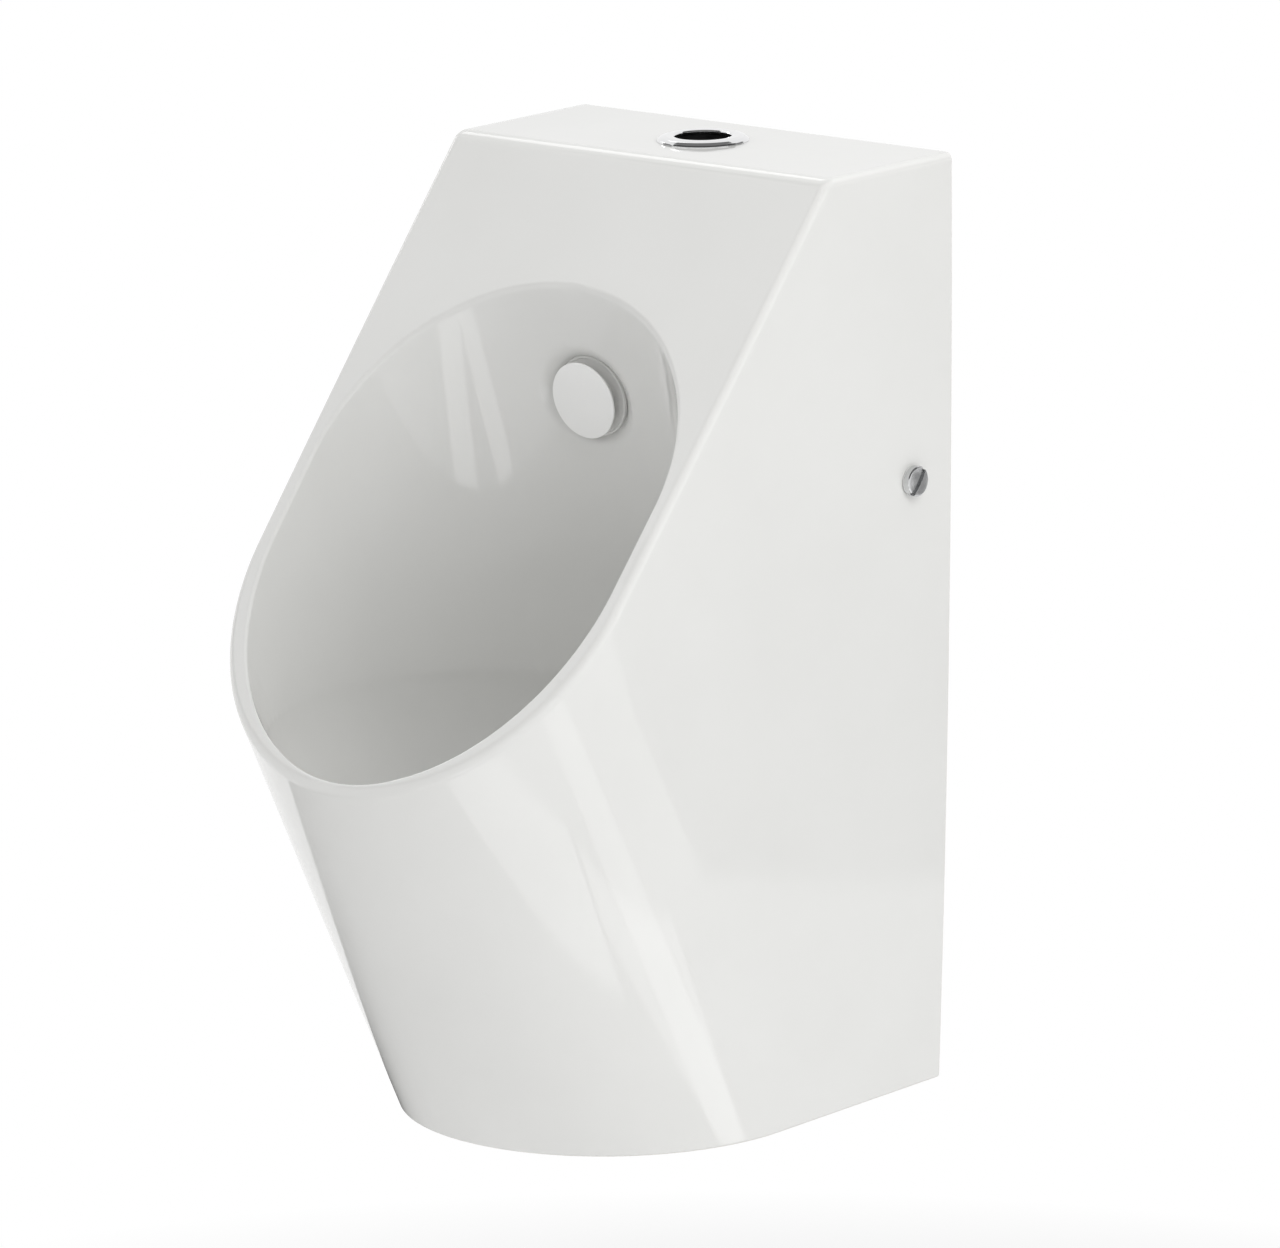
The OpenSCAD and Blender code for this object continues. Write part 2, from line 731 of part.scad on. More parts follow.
// Tube that carries the water down into the cup
module trap_dip_tube() color("whitesmoke") at_waste()
    difference() {
        union() {
            translate([0, 0, dip_bottom_h]) cylinder(d = dip_d - 2 * seat_gap, h = neck_top - dip_bottom_h);
            translate([0, 0, neck_top - dip_rim_t]) cylinder(d = neck_d - 2 * seat_gap, h = dip_rim_t);
        }
        translate([0, 0, dip_bottom_h - over]) cylinder(d = dip_d - 2 * dip_wall, h = neck_top - dip_bottom_h + 2 * over);
    }

// Bottle body with its neck and its outlet stub
module trap_body() color("whitesmoke") {
    stub_d = outlet_d + 2 * stub_wall;
    stub_end = trap_d / 2 + stub_len;
    difference() {
        union() {
            at_waste() translate([0, 0, trap_low_h]) cylinder(d = trap_d, h = trap_top_h - trap_low_h);
            at_waste() translate([0, 0, trap_top_h - over]) cylinder(d = neck_d, h = neck_top - trap_top_h + over);
            at_waste() translate([0, 0, neck_top - neck_flange_t]) cylinder(d = neck_flange_d, h = neck_flange_t);
            at_outlet() cylinder(d = stub_d, h = stub_end);
        }
        at_waste() translate([0, 0, trap_low_h - over])
            cylinder(d = trap_d - 2 * trap_wall, h = trap_top_h - trap_roof_t - trap_low_h + over);
        at_waste() translate([0, 0, trap_low_h]) cylinder(d = dip_d, h = neck_top);
        at_waste() translate([0, 0, neck_top - dip_rim_t]) cylinder(d = neck_d, h = over);
        at_outlet() cylinder(d = outlet_d - 2 * stub_wall, h = stub_end + over);
        at_outlet() translate([0, 0, stub_end - pipe_in]) cylinder(d = outlet_d + 2 * seat_gap, h = pipe_in + over);
    }
}

// Cup that unscrews from the trap for cleaning, with a ribbed collar
module trap_cup() color("whitesmoke") at_waste() {
    step_h = trap_low_h - cup_seal_t;
    difference() {
        union() {
            translate([0, 0, cup_low_h]) cylinder(d1 = cup_foot_d, d2 = cup_waist_d, h = cup_collar_h - cup_low_h);
            translate([0, 0, cup_collar_h]) cylinder(d = trap_cup_d, h = cup_top_h - cup_collar_h);
            for (k = [1:cup_ribs])
                rotate(k * 360 / cup_ribs) translate([trap_cup_d / 2, 0, cup_collar_h])
                    cylinder(d = cup_rib_d, h = cup_top_h - cup_collar_h);
        }
        translate([0, 0, cup_low_h + cup_wall])
            cylinder(d1 = cup_foot_d - 2 * cup_wall, d2 = cup_waist_d - 2 * cup_wall, h = cup_collar_h - cup_low_h - cup_wall);
        translate([0, 0, cup_collar_h]) cylinder(d = cup_waist_d - 2 * cup_wall, h = cup_top_h);
        translate([0, 0, step_h]) cylinder(d = trap_d + 2 * run_gap, h = cup_top_h);
    }
}

module trap_cup_seal() color("black") at_waste()
    tube(trap_d - 2 * seat_gap, trap_d - 2 * trap_wall, trap_low_h - cup_seal_t, trap_low_h);

module trap_outlet_nut() color("whitesmoke") at_outlet() {
    stub_d = outlet_d + 2 * stub_wall;
    stub_end = trap_d / 2 + stub_len;
    lip_z = stub_end + outlet_seal_t;
    difference() {
        union() {
            translate([0, 0, lip_z + outlet_lip_t - outlet_nut_len]) cylinder(d = outlet_nut_d, h = outlet_nut_len);
            for (k = [1:cup_ribs / 2])
                rotate(k * 720 / cup_ribs) translate([outlet_nut_d / 2, 0, lip_z + outlet_lip_t - outlet_nut_len])
                    cylinder(d = cup_rib_d, h = outlet_nut_len);
        }
        translate([0, 0, lip_z - 2 * outlet_nut_len]) cylinder(d = stub_d + 2 * seat_gap, h = 2 * outlet_nut_len);
        translate([0, 0, lip_z - over]) cylinder(d = outlet_d + hole_gap, h = 2 * over);
    }
}

module trap_outlet_seal() color("black") at_outlet() {
    stub_end = trap_d / 2 + stub_len;
    tube(outlet_d + 2 * stub_wall, outlet_d + 2 * seat_gap, stub_end, stub_end + outlet_seal_t);
}

// Pipe into the wall, with a stop ring just in front of the wall
module outlet_pipe() color("lightgray") at_outlet() {
    tube(outlet_d, outlet_d - 2 * pipe_wall, trap_d / 2 + stub_len - pipe_in, waste_off + outlet_in_wall);
    tube(outlet_d + 2 * stop_t, outlet_d - pipe_wall, waste_off - stop_gap - stop_w, waste_off - stop_gap);
}

// Steel angle: a plate on the wall and a lug with a welded nut for the side screw
module bracket(side) color("silver") {
    plate_x = lug_x - bracket_w;
    difference() {
        union() {
            at_side(side) translate([plate_x, -bracket_t, -bracket_v / 2]) cube([bracket_w, bracket_t, bracket_v]);
            at_side(side) translate([lug_x - bracket_t, -lug_off, -lug_v / 2]) cube([bracket_t, lug_off, lug_v]);
            at_screw(side) translate([0, 0, lug_x - bracket_t - weld_nut_t]) cylinder(d = weld_nut_d, h = weld_nut_t);
        }
        for (up = [-1, 1])
            at_side(side) translate([fixing_w / 2, over - bracket_t, up * fixing_v / 2]) rotate([90, 0, 0])
                cylinder(d = fixing_hole_d, h = 2 * over);
        at_screw(side) translate([0, 0, lug_x - bracket_t - weld_nut_t - over])
            cylinder(d = screw_d + 2 * run_gap, h = bracket_t + weld_nut_t + 2 * over);
    }
}

// Plastic bush in the ceramic's side hole, with a collar that keeps the ceramic off the steel
module side_bush(side) color("lightgray") at_screw(side)
    difference() {
        union() {
            translate([0, 0, lug_x + seat_gap]) cylinder(d = bush_flange_d, h = side_inner_x - side_gap - lug_x - seat_gap);
            translate([0, 0, lug_x + seat_gap]) cylinder(d = bush_hole_d - side_gap, h = screw_side_x - side_gap - lug_x - seat_gap);
        }
        translate([0, 0, lug_x - over]) cylinder(d = screw_d + side_gap, h = shell_t + 3 * over);
    }

module screw_washer(side) color("whitesmoke") at_screw(side)
    tube(washer_d, screw_d + 2 * run_gap, screw_side_x + side_gap, screw_side_x + side_gap + washer_t);

// Slotted chrome screw: a chamfered head, a shank and a turned-down tip
module side_screw(side) color("silver") at_screw(side) {
    head_z = screw_side_x + side_gap + washer_t + run_gap;
    tip_z = lug_x - bracket_t - weld_nut_t - screw_tip;
    difference() {
        union() {
            translate([0, 0, head_z]) cylinder(d = head_d, h = head_t - head_chamfer);
            translate([0, 0, head_z + head_t - head_chamfer])
                cylinder(d1 = head_d, d2 = head_d - 2 * head_chamfer, h = head_chamfer);
        }
        rotate(slot_turn) translate([-head_d, -slot_w / 2, head_z + head_t - slot_depth])
            cube([2 * head_d, slot_w, slot_depth + over]);
    }
    translate([0, 0, tip_z]) cylinder(d = screw_d, h = head_z - tip_z);
}

module left_bracket() bracket(-1);
module right_bracket() bracket(1);
module left_side_bush() side_bush(-1);
module right_side_bush() side_bush(1);
module left_screw_washer() screw_washer(-1);
module right_screw_washer() screw_washer(1);
module left_side_screw() side_screw(-1);
module right_side_screw() side_screw(1);

ceramic_body();
inlet_rosette();
inlet_gasket();
inlet_spud();
inlet_lip_seal();
inlet_lock_nut();
flush_elbow();
flush_elbow_seal();
spreader_body();
spreader_gasket();
spreader_washer();
spreader_lock_nut();
spreader_sleeve_seal();
spreader_cap();
waste_flange();
waste_top_gasket();
waste_bottom_gasket();
waste_lock_nut();
waste_strainer();
trap_union_nut();
trap_union_seal();
trap_dip_tube();
trap_body();
trap_cup();
trap_cup_seal();
trap_outlet_nut();
trap_outlet_seal();
outlet_pipe();
left_bracket();
right_bracket();
left_side_bush();
right_side_bush();
left_screw_washer();
right_screw_washer();
left_side_screw();
right_side_screw();
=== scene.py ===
"""Looks of the wall hung urinal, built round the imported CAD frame."""
import math

import bmesh
import bpy
import numpy as np
from mathutils import Matrix, Vector
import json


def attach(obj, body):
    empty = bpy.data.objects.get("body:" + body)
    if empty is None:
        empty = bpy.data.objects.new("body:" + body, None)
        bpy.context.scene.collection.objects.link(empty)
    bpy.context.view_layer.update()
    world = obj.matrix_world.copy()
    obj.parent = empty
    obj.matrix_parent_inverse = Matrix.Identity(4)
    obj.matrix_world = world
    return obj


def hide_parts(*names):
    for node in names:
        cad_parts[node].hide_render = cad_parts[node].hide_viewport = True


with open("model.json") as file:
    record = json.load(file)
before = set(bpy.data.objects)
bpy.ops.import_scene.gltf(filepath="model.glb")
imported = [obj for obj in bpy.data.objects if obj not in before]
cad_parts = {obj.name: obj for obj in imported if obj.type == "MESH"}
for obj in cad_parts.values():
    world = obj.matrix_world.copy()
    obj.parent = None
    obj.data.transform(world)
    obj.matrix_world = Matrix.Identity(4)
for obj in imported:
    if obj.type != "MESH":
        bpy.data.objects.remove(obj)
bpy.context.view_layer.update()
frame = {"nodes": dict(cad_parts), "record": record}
NODES = frame["nodes"]
BODY_OF = {n: b for b, ns in frame["record"]["behaviour"]["bodies"].items() for n in ns}
SLOT_OF = {p["node"]: p["material_slot"] for p in frame["record"]["subparts"]}

MM = 0.001


# ---------------------------------------------------------------- sizes
# In mm, with heights from the foot. The frame's zero is the wall fixing, this high above the foot:
FIXING_H = 398.0

# Outer walls: height and width, depths at the ledge, the lip and the foot, height of the lip, depth of the round
# front at the lip and the foot, and per side how much narrower the foot is and how far the middle swells
BODY_H, BODY_W = 600.0, 308.0
TOP_D, LIP_D, FOOT_D = 120.0, 416.0, 295.0
LIP_H = 252.0
LIP_ROUND, FOOT_ROUND = 150.0, 136.0
TAPER, BULGE = 17.5, 3.3
SLOPE = (LIP_D - TOP_D) / (BODY_H - LIP_H)
SLOPE_LEN = math.hypot(1, SLOPE)
LEAN = (LIP_D - FOOT_D) / LIP_H

# Clay: walls and ledge, then the radii of its edges
SHELL, LEDGE = 12.0, 14.0
EDGE_R, RIM_R, BASE_R, HOLE_EDGE_R = 5.0, 2.5, 1.5, 0.8
HOLLOW_R, HOLLOW_TOP_R = 4.0, 11.0

# Bowl: heights of the mouth's ends and where its round ends begin, the lean of its walls in degrees, and the
# floor's height, its rounding and its flat share
MOUTH_TOP, MOUTH_LOW = 526.0, 258.0
ARC_TOP, ARC_LOW = 420.0, 376.0
BACK_TILT, FRONT_TILT = 10.0, 26.5
BACK_LEAN, FRONT_LEAN = math.tan(math.radians(BACK_TILT)), math.tan(math.radians(FRONT_TILT))
BACK_SEMI = (SLOPE + BACK_LEAN) * (MOUTH_TOP - ARC_TOP)
FRONT_SEMI = (SLOPE + FRONT_LEAN) * (ARC_LOW - MOUTH_LOW)
FLOOR_H, FLOOR_ROUND, FLOOR_SHARE = 170.0, 95.0, 0.27
BLEND_H = FLOOR_H + FLOOR_ROUND

# Spreader: the dished recess in the bowl's back wall, the hole for its tail and the boss behind it.
# The recess is a little wider than high, and flares outwards by RECESS_FLARE per mm until just past the wall.
SPREADER_H = 454.0
RECESS_R, RECESS_DEPTH = 30.0, 6.5
RECESS_WIDE, RECESS_HIGH = 1.05, 0.96
RECESS_FLARE, RECESS_OVER, RECESS_SCALE = 0.8, 3.0, 0.78
RECESS_FLOOR_R, RECESS_LIP_R = 2.5, 3.8
TAIL_HOLE_R, TAIL_HOLE_IN = 17.0, 5.0
BOSS_R = 40.5

# Waste: hole, seat of the flange, boss below it and the height of the outlet pipe
WASTE_Y = -222.0
WASTE_HOLE_R, WASTE_HOLE_IN = 29.0, 1.0
SEAT_R, SEAT_IN, SEAT_EDGE_R = 40.0, 4.5, 1.2
WASTE_BOSS_R, WASTE_BOSS_H = 50.0, 20.0
OUTLET_H = 84.0

# Inlet hole in the ledge and holes for the side screws
INLET_Y, INLET_HOLE_R, INLET_HOLE_H = -58.5, 23.0, 560.0
SCREW_Y, SIDE_HOLE_R = -40.0, 7.0

# Slotted head of the side screws, in the screw's frame, and the washer under it
HEAD_Z, HEAD_T, HEAD_R = 152.406, 5.4, 9.75
HEAD_CROWN, HEAD_EDGE_R = 0.9, 0.9
SLOT_TURN, SLOT_HALF, SLOT_DEPTH = math.radians(-37), 1.7, 3.0
WASHER_T, WASHER_GAP = 0.8, 0.05


# ---------------------------------------------------------------- camera
LENS_MM = 244.7
SENSOR_MM = 36.0
TARGET = Vector((20.4543, -150.0, 308.4047 - FIXING_H)) * MM
CAMERA_DIST = 5.4437
BACK = Vector((0.6414, -0.7326, 0.2280)).normalized()
RIGHT = Vector((0.7549, 0.6556, -0.0174))
RIGHT = (RIGHT - RIGHT.dot(BACK) * BACK).normalized()
UP = BACK.cross(RIGHT)


def axes(x, y, z, origin):
    """The matrix that has these axes and this origin as its columns."""
    return Matrix((
        (x.x, y.x, z.x, origin[0]), (x.y, y.y, z.y, origin[1]), (x.z, y.z, z.z, origin[2]), (0, 0, 0, 1)))


def link(name, data):
    """A new object in the scene."""
    obj = bpy.data.objects.new(name, data)
    bpy.context.scene.collection.objects.link(obj)
    return obj


def add_camera():
    """The photograph's camera, worked out from the object's own edges."""
    data = bpy.data.cameras.new("camera")
    data.lens = LENS_MM
    data.sensor_width = SENSOR_MM
    data.sensor_fit = "HORIZONTAL"
    data.dof.use_dof = False
    cam = link("camera", data)
    cam.matrix_world = axes(RIGHT, UP, BACK, TARGET + BACK * CAMERA_DIST)
    bpy.context.scene.camera = cam


# ---------------------------------------------------------------- materials
# Sockets of the Mix node for each kind of data: first input, second input, output
MIX_SOCKETS = {"FLOAT": (2, 3, 0), "VECTOR": (4, 5, 1), "RGBA": (6, 7, 2)}


class Tree:
    """The node tree of a material or a world, with short calls for its nodes."""

    def __init__(self, owner, output):
        owner.use_nodes = True
        self.owner = owner
        self.nt = owner.node_tree
        self.nt.nodes.clear()
        self.out = self.add(output)

    def add(self, kind, inputs=(), **props):
        node = self.nt.nodes.new(kind)
        for k, v in props.items():
            setattr(node, k, v)
        for k, v in dict(inputs).items():
            self.put(node.inputs[k], v)
        return node

    def put(self, socket, v):
        if isinstance(v, bpy.types.NodeSocket):
            self.nt.links.new(v, socket)
        else:
            socket.default_value = v

    def coord(self):
        return self.add("ShaderNodeTexCoord").outputs["Object"]

    def noise(self, scale, detail=2.0, rough=0.5, stretch=None):
        vec = self.coord()
        if stretch:
            vec = self.add("ShaderNodeMapping", {"Vector": vec, "Scale": stretch}).outputs[0]
        return self.add("ShaderNodeTexNoise", {
            "Vector": vec, "Scale": scale, "Detail": detail, "Roughness": rough}).outputs["Fac"]

    def spread(self, fac, lo, hi, a=0.3, b=0.7):
        """Maps a factor between a and b onto lo to hi."""
        return self.add("ShaderNodeMapRange", {
            "Value": fac, "From Min": a, "From Max": b, "To Min": lo, "To Max": hi}).outputs[0]

    def mix(self, fac, a, b, kind="RGBA"):
        first, second, result = MIX_SOCKETS[kind]
        return self.add("ShaderNodeMix", {0: fac, first: a, second: b}, data_type=kind).outputs[result]

    def math(self, op, a, b=0.0):
        return self.add("ShaderNodeMath", {0: a, 1: b}, operation=op).outputs[0]

    def length(self, vec):
        return self.add("ShaderNodeVectorMath", {0: vec}, operation="LENGTH").outputs["Value"]

    def bump(self, height, dist, normal=None):
        node = self.add("ShaderNodeBump", {"Height": height, "Distance": dist, "Strength": 1.0})
        if normal:
            self.put(node.inputs["Normal"], normal)
        return node.outputs[0]

    def seen(self):
        """1 for the rays that show a thing itself: from the camera, off gloss and through glass."""
        path = self.add("ShaderNodeLightPath").outputs
        return self.math("MAXIMUM", path["Is Camera Ray"],
                         self.math("MAXIMUM", path["Is Glossy Ray"], path["Is Transmission Ray"]))

    def glow(self, tone, strength=1.0):
        return self.add("ShaderNodeEmission", {"Color": rgb(tone), "Strength": strength})

    def clear(self):
        return self.add("ShaderNodeBsdfTransparent")

    def layer(self, fac, a, b):
        """Mixes two shaders."""
        return self.add("ShaderNodeMixShader", {0: fac, 1: a.outputs[0], 2: b.outputs[0]})

    def show(self, shader):
        """Ends the tree in a shader and returns the material or world."""
        self.put(self.out.inputs["Surface"], shader.outputs[0])
        return self.owner

    def surface(self, **inputs):
        """Ends the tree in a Principled shader, whose inputs are named with _ for a space."""
        named = {k.replace("_", " "): v for k, v in inputs.items()}
        return self.show(self.add("ShaderNodeBsdfPrincipled", named))


def material(name):
    return Tree(bpy.data.materials.new(name), "ShaderNodeOutputMaterial")


def rgb(r, g=None, b=None):
    """A colour, or a grey from one number."""
    return (r, r, r, 1.0) if g is None else (r, g, b, 1.0)


def glaze():
    """White glaze over fired clay, which is bare where it stood in the kiln and inside the hollow."""
    t = material("glazed_ceramic")
    bare = t.add("ShaderNodeAttribute", attribute_name="bare").outputs["Fac"]
    cloud = t.noise(9, 3)
    speck = t.noise(900, 2, 0.7)
    tone = t.mix(t.spread(cloud, 0, 1), rgb(0.755, 0.755, 0.738), rgb(0.777, 0.777, 0.761))
    clay = t.mix(t.spread(speck, 0, 1), rgb(0.70, 0.67, 0.61), rgb(0.80, 0.775, 0.72))
    wave = t.bump(t.noise(38, 1.5), 0.00006)
    peel = t.bump(t.noise(420, 1), 0.0000035, wave)
    grit = t.bump(speck, 0.00012, peel)
    rough, clay_rough = t.spread(cloud, 0.045, 0.085), 0.72
    return t.surface(Base_Color=t.mix(bare, tone, clay), Roughness=t.mix(bare, rough, clay_rough, "FLOAT"),
                     Normal=t.mix(bare, peel, grit, "VECTOR"), IOR=1.52)


def chrome():
    """Bright plating with faint wipe marks."""
    t = material("chrome_plate")
    smear = t.noise(60, 4, 0.6)
    brushed = t.noise(700, 2, 0.6, (1, 1, 0.08))
    return t.surface(
        Base_Color=t.mix(t.spread(smear, 0, 1), rgb(0.768, 0.772, 0.776), rgb(0.80, 0.80, 0.808)),
        Metallic=1.0, Roughness=t.spread(smear, 0.049, 0.112), Normal=t.bump(brushed, 0.000004))


def plastic(name, a, b, rough):
    """Moulded plastic with a fine spark-eroded grain and faint flow clouding."""
    t = material(name)
    cloud = t.noise(22, 4, 0.55)
    grain = t.noise(1500, 2, 0.6)
    sink = t.bump(t.noise(70, 1), 0.00008)
    return t.surface(
        Base_Color=t.mix(t.spread(cloud, 0, 1), a, b), Roughness=t.spread(cloud, rough * 0.85, rough * 1.15),
        Normal=t.bump(grain, 0.00001, sink), IOR=1.49)


def screw_steel():
    """Chrome plated screw head with turning marks round its axis."""
    t = material("chrome_screw")
    axis = t.add("ShaderNodeMapping", {
        "Vector": t.coord(), "Location": (0, -SCREW_Y * MM, 0), "Scale": (0, 1, 1)}).outputs[0]
    # one ring each 0.7 mm
    rings = t.math("SINE", t.math("MULTIPLY", t.length(axis), 9000.0))
    smear = t.noise(160, 4, 0.65)
    return t.surface(
        Base_Color=t.mix(t.spread(smear, 0, 1), rgb(0.58, 0.585, 0.59), rgb(0.66, 0.665, 0.67)),
        Metallic=1.0, Roughness=t.spread(smear, 0.08, 0.2),
        Normal=t.bump(t.noise(90, 2), 0.00025, t.bump(rings, 0.000006)))


def rubber(name, a, b, gloss):
    """Dusty rubber with a fine grain."""
    t = material(name)
    dust = t.noise(160, 5, 0.7)
    grain = t.noise(2200, 3, 0.7)
    return t.surface(
        Base_Color=t.mix(t.spread(dust, 0, 1, 0.4, 0.75), a, b), Roughness=t.spread(dust, 0.42, 0.66),
        Normal=t.bump(grain, 0.00003), IOR=1.5, Specular_IOR_Level=gloss)


def zinc():
    """Zinc plated steel with its faint crystal pattern."""
    t = material("zinc_steel")
    cells = t.add("ShaderNodeTexVoronoi", {"Vector": t.coord(), "Scale": 230.0}).outputs["Color"]
    value = t.add("ShaderNodeSeparateColor", {"Color": cells}).outputs[0]
    cloud = t.noise(35, 4)
    tint = t.mix(t.spread(cloud, 0, 1), rgb(0.42, 0.44, 0.47), rgb(0.52, 0.51, 0.46))
    tone = t.mix(t.math("MULTIPLY", value, 0.3), tint, rgb(0.64, 0.65, 0.66))
    return t.surface(Base_Color=tone, Metallic=1.0, Roughness=t.spread(value, 0.28, 0.42, 0, 1),
                     Normal=t.bump(t.noise(900, 3), 0.000012))


MATERIALS = {
    "glazed_ceramic": glaze(),
    "chrome_plate": chrome(),
    "cap_plastic": plastic("cap_plastic", rgb(0.93, 0.93, 0.92), rgb(0.95, 0.95, 0.94), 0.24),
    "white_plastic": plastic("white_plastic", rgb(0.74, 0.74, 0.72), rgb(0.79, 0.79, 0.775), 0.36),
    "grey_plastic": plastic("grey_plastic", rgb(0.36, 0.37, 0.38), rgb(0.42, 0.43, 0.44), 0.40),
    "black_rubber": rubber("black_rubber", rgb(0.005), rgb(0.016), 0.2),
    "grey_rubber": rubber("grey_rubber", rgb(0.09, 0.09, 0.095), rgb(0.14, 0.14, 0.145), 0.4),
    "zinc_steel": zinc(),
}
SCREW_STEEL = screw_steel()


# ---------------------------------------------------------------- ceramic body
# Least size of a divisor, and the distance at which the fields are cut off
TINY, FAR = 1e-9, 60.0


def half_w(z):
    """Half the width of the outer walls at a height."""
    return BODY_W / 2 - TAPER * (1 - z / BODY_H) + 4 * BULGE * z * (BODY_H - z) / BODY_H ** 2


def face_y(z):
    """The sloped face, in which the mouth lies."""
    return -TOP_D - (BODY_H - z) * SLOPE


def bowl_back(z):
    """The bowl's back wall on the middle plane."""
    return face_y(MOUTH_TOP) + (MOUTH_TOP - z) * BACK_LEAN


def bowl_front(z):
    """The bowl's front wall on the middle plane."""
    return face_y(MOUTH_LOW) + (MOUTH_LOW - z) * FRONT_LEAN


def bowl_mid(z):
    """Halfway between the bowl's back and front."""
    return (bowl_back(z) + bowl_front(z)) / 2


def plan_gap(x, dy, w, semi):
    """Distance from a curve that is straight where dy is 0 and an ellipse elsewhere."""
    q = np.sqrt((x / w) ** 2 + (dy / semi) ** 2) + TINY
    slope = np.sqrt((x / w ** 2) ** 2 + (dy / semi ** 2) ** 2) / q + TINY
    return np.maximum((q - 1) / slope, -FAR)


def outer_plan(x, y, z):
    """Plan distance from the outer walls."""
    r = FOOT_ROUND + (LIP_ROUND - FOOT_ROUND) * z / LIP_H
    d = FOOT_D + LEAN * z
    return plan_gap(x, np.minimum(y + d - r, 0), half_w(z), r)


def bowl_upper(x, y, z, grow):
    """Plan distance from the bowl's wall where it is above its rounded floor."""
    yb, yf = bowl_back(z) - BACK_SEMI, bowl_front(z) + FRONT_SEMI
    back = y > yb
    dy = np.where(back, y - yb, np.minimum(y - yf, 0))
    return plan_gap(x, dy, half_w(z) - SHELL + grow, np.where(back, BACK_SEMI, FRONT_SEMI) + grow)


def bowl_lower(x, y, z, grow):
    """How far out a point lies in the bowl's rounded floor, where 1 is on its surface."""
    high = np.clip((BLEND_H - z) / (FLOOR_ROUND + grow), 0, 2)
    cos = np.sqrt(np.maximum(1 - np.minimum(high, 1) ** 2, 0))
    ys = y - bowl_mid(z) + (-WASTE_Y + bowl_mid(FLOOR_H)) * (1 - cos)
    w = half_w(BLEND_H) - SHELL + grow
    cb = bowl_back(BLEND_H) - BACK_SEMI - bowl_mid(BLEND_H)
    cf = bowl_front(BLEND_H) + FRONT_SEMI - bowl_mid(BLEND_H)
    size = []
    for c, b in (cb, BACK_SEMI + grow), (cf, FRONT_SEMI + grow):
        k, m = 1 - (c / b) ** 2, 2 * ys * c / b ** 2
        size.append((-m + np.sqrt(m ** 2 + 4 * k * (ys ** 2 / b ** 2 + x ** 2 / w ** 2))) / (2 * k))
    s = np.where(ys >= cb * size[0], size[0], np.where(ys <= cf * size[1], size[1], np.abs(x) / w))
    u = np.maximum(s - FLOOR_SHARE, 0) / (1 - FLOOR_SHARE)
    return np.sqrt(u ** 2 + high ** 2)


def upright(f, x, y, z, h=0.05):
    """A plan distance made into a distance in space."""
    a = f(x, y, z)
    dz = f(x, y, z + h) - f(x, y, z - h)
    return a / np.sqrt(1 + (dz / (2 * h)) ** 2)


def bowl_gap(x, y, z, grow=0.0, h=0.25):
    """Distance from the bowl's surface grown by grow, negative inside the bowl."""
    low = z < BLEND_H
    up = ~low
    out = np.empty_like(x)
    out[up] = upright(lambda *q: bowl_upper(*q, grow), x[up], y[up], z[up])
    q = [x[low], y[low], z[low]]
    g2 = 0
    for k in range(3):
        hi, lo = list(q), list(q)
        hi[k], lo[k] = q[k] + h, q[k] - h
        g2 = g2 + ((bowl_lower(*hi, grow) - bowl_lower(*lo, grow)) / (2 * h)) ** 2
    out[low] = np.clip((bowl_lower(*q, grow) - 1) / np.sqrt(g2 + TINY), -FAR, FAR)
    return out


def meet(r, *fs):
    """Intersection of fields with an edge rounded by r."""
    top = fs[0]
    for f in fs[1:]:
        top = np.maximum(top, f)
    total = 0
    for f in fs:
        total = total + np.maximum(f + r, 0) ** 2
    return np.minimum(top, -r) + np.sqrt(total)


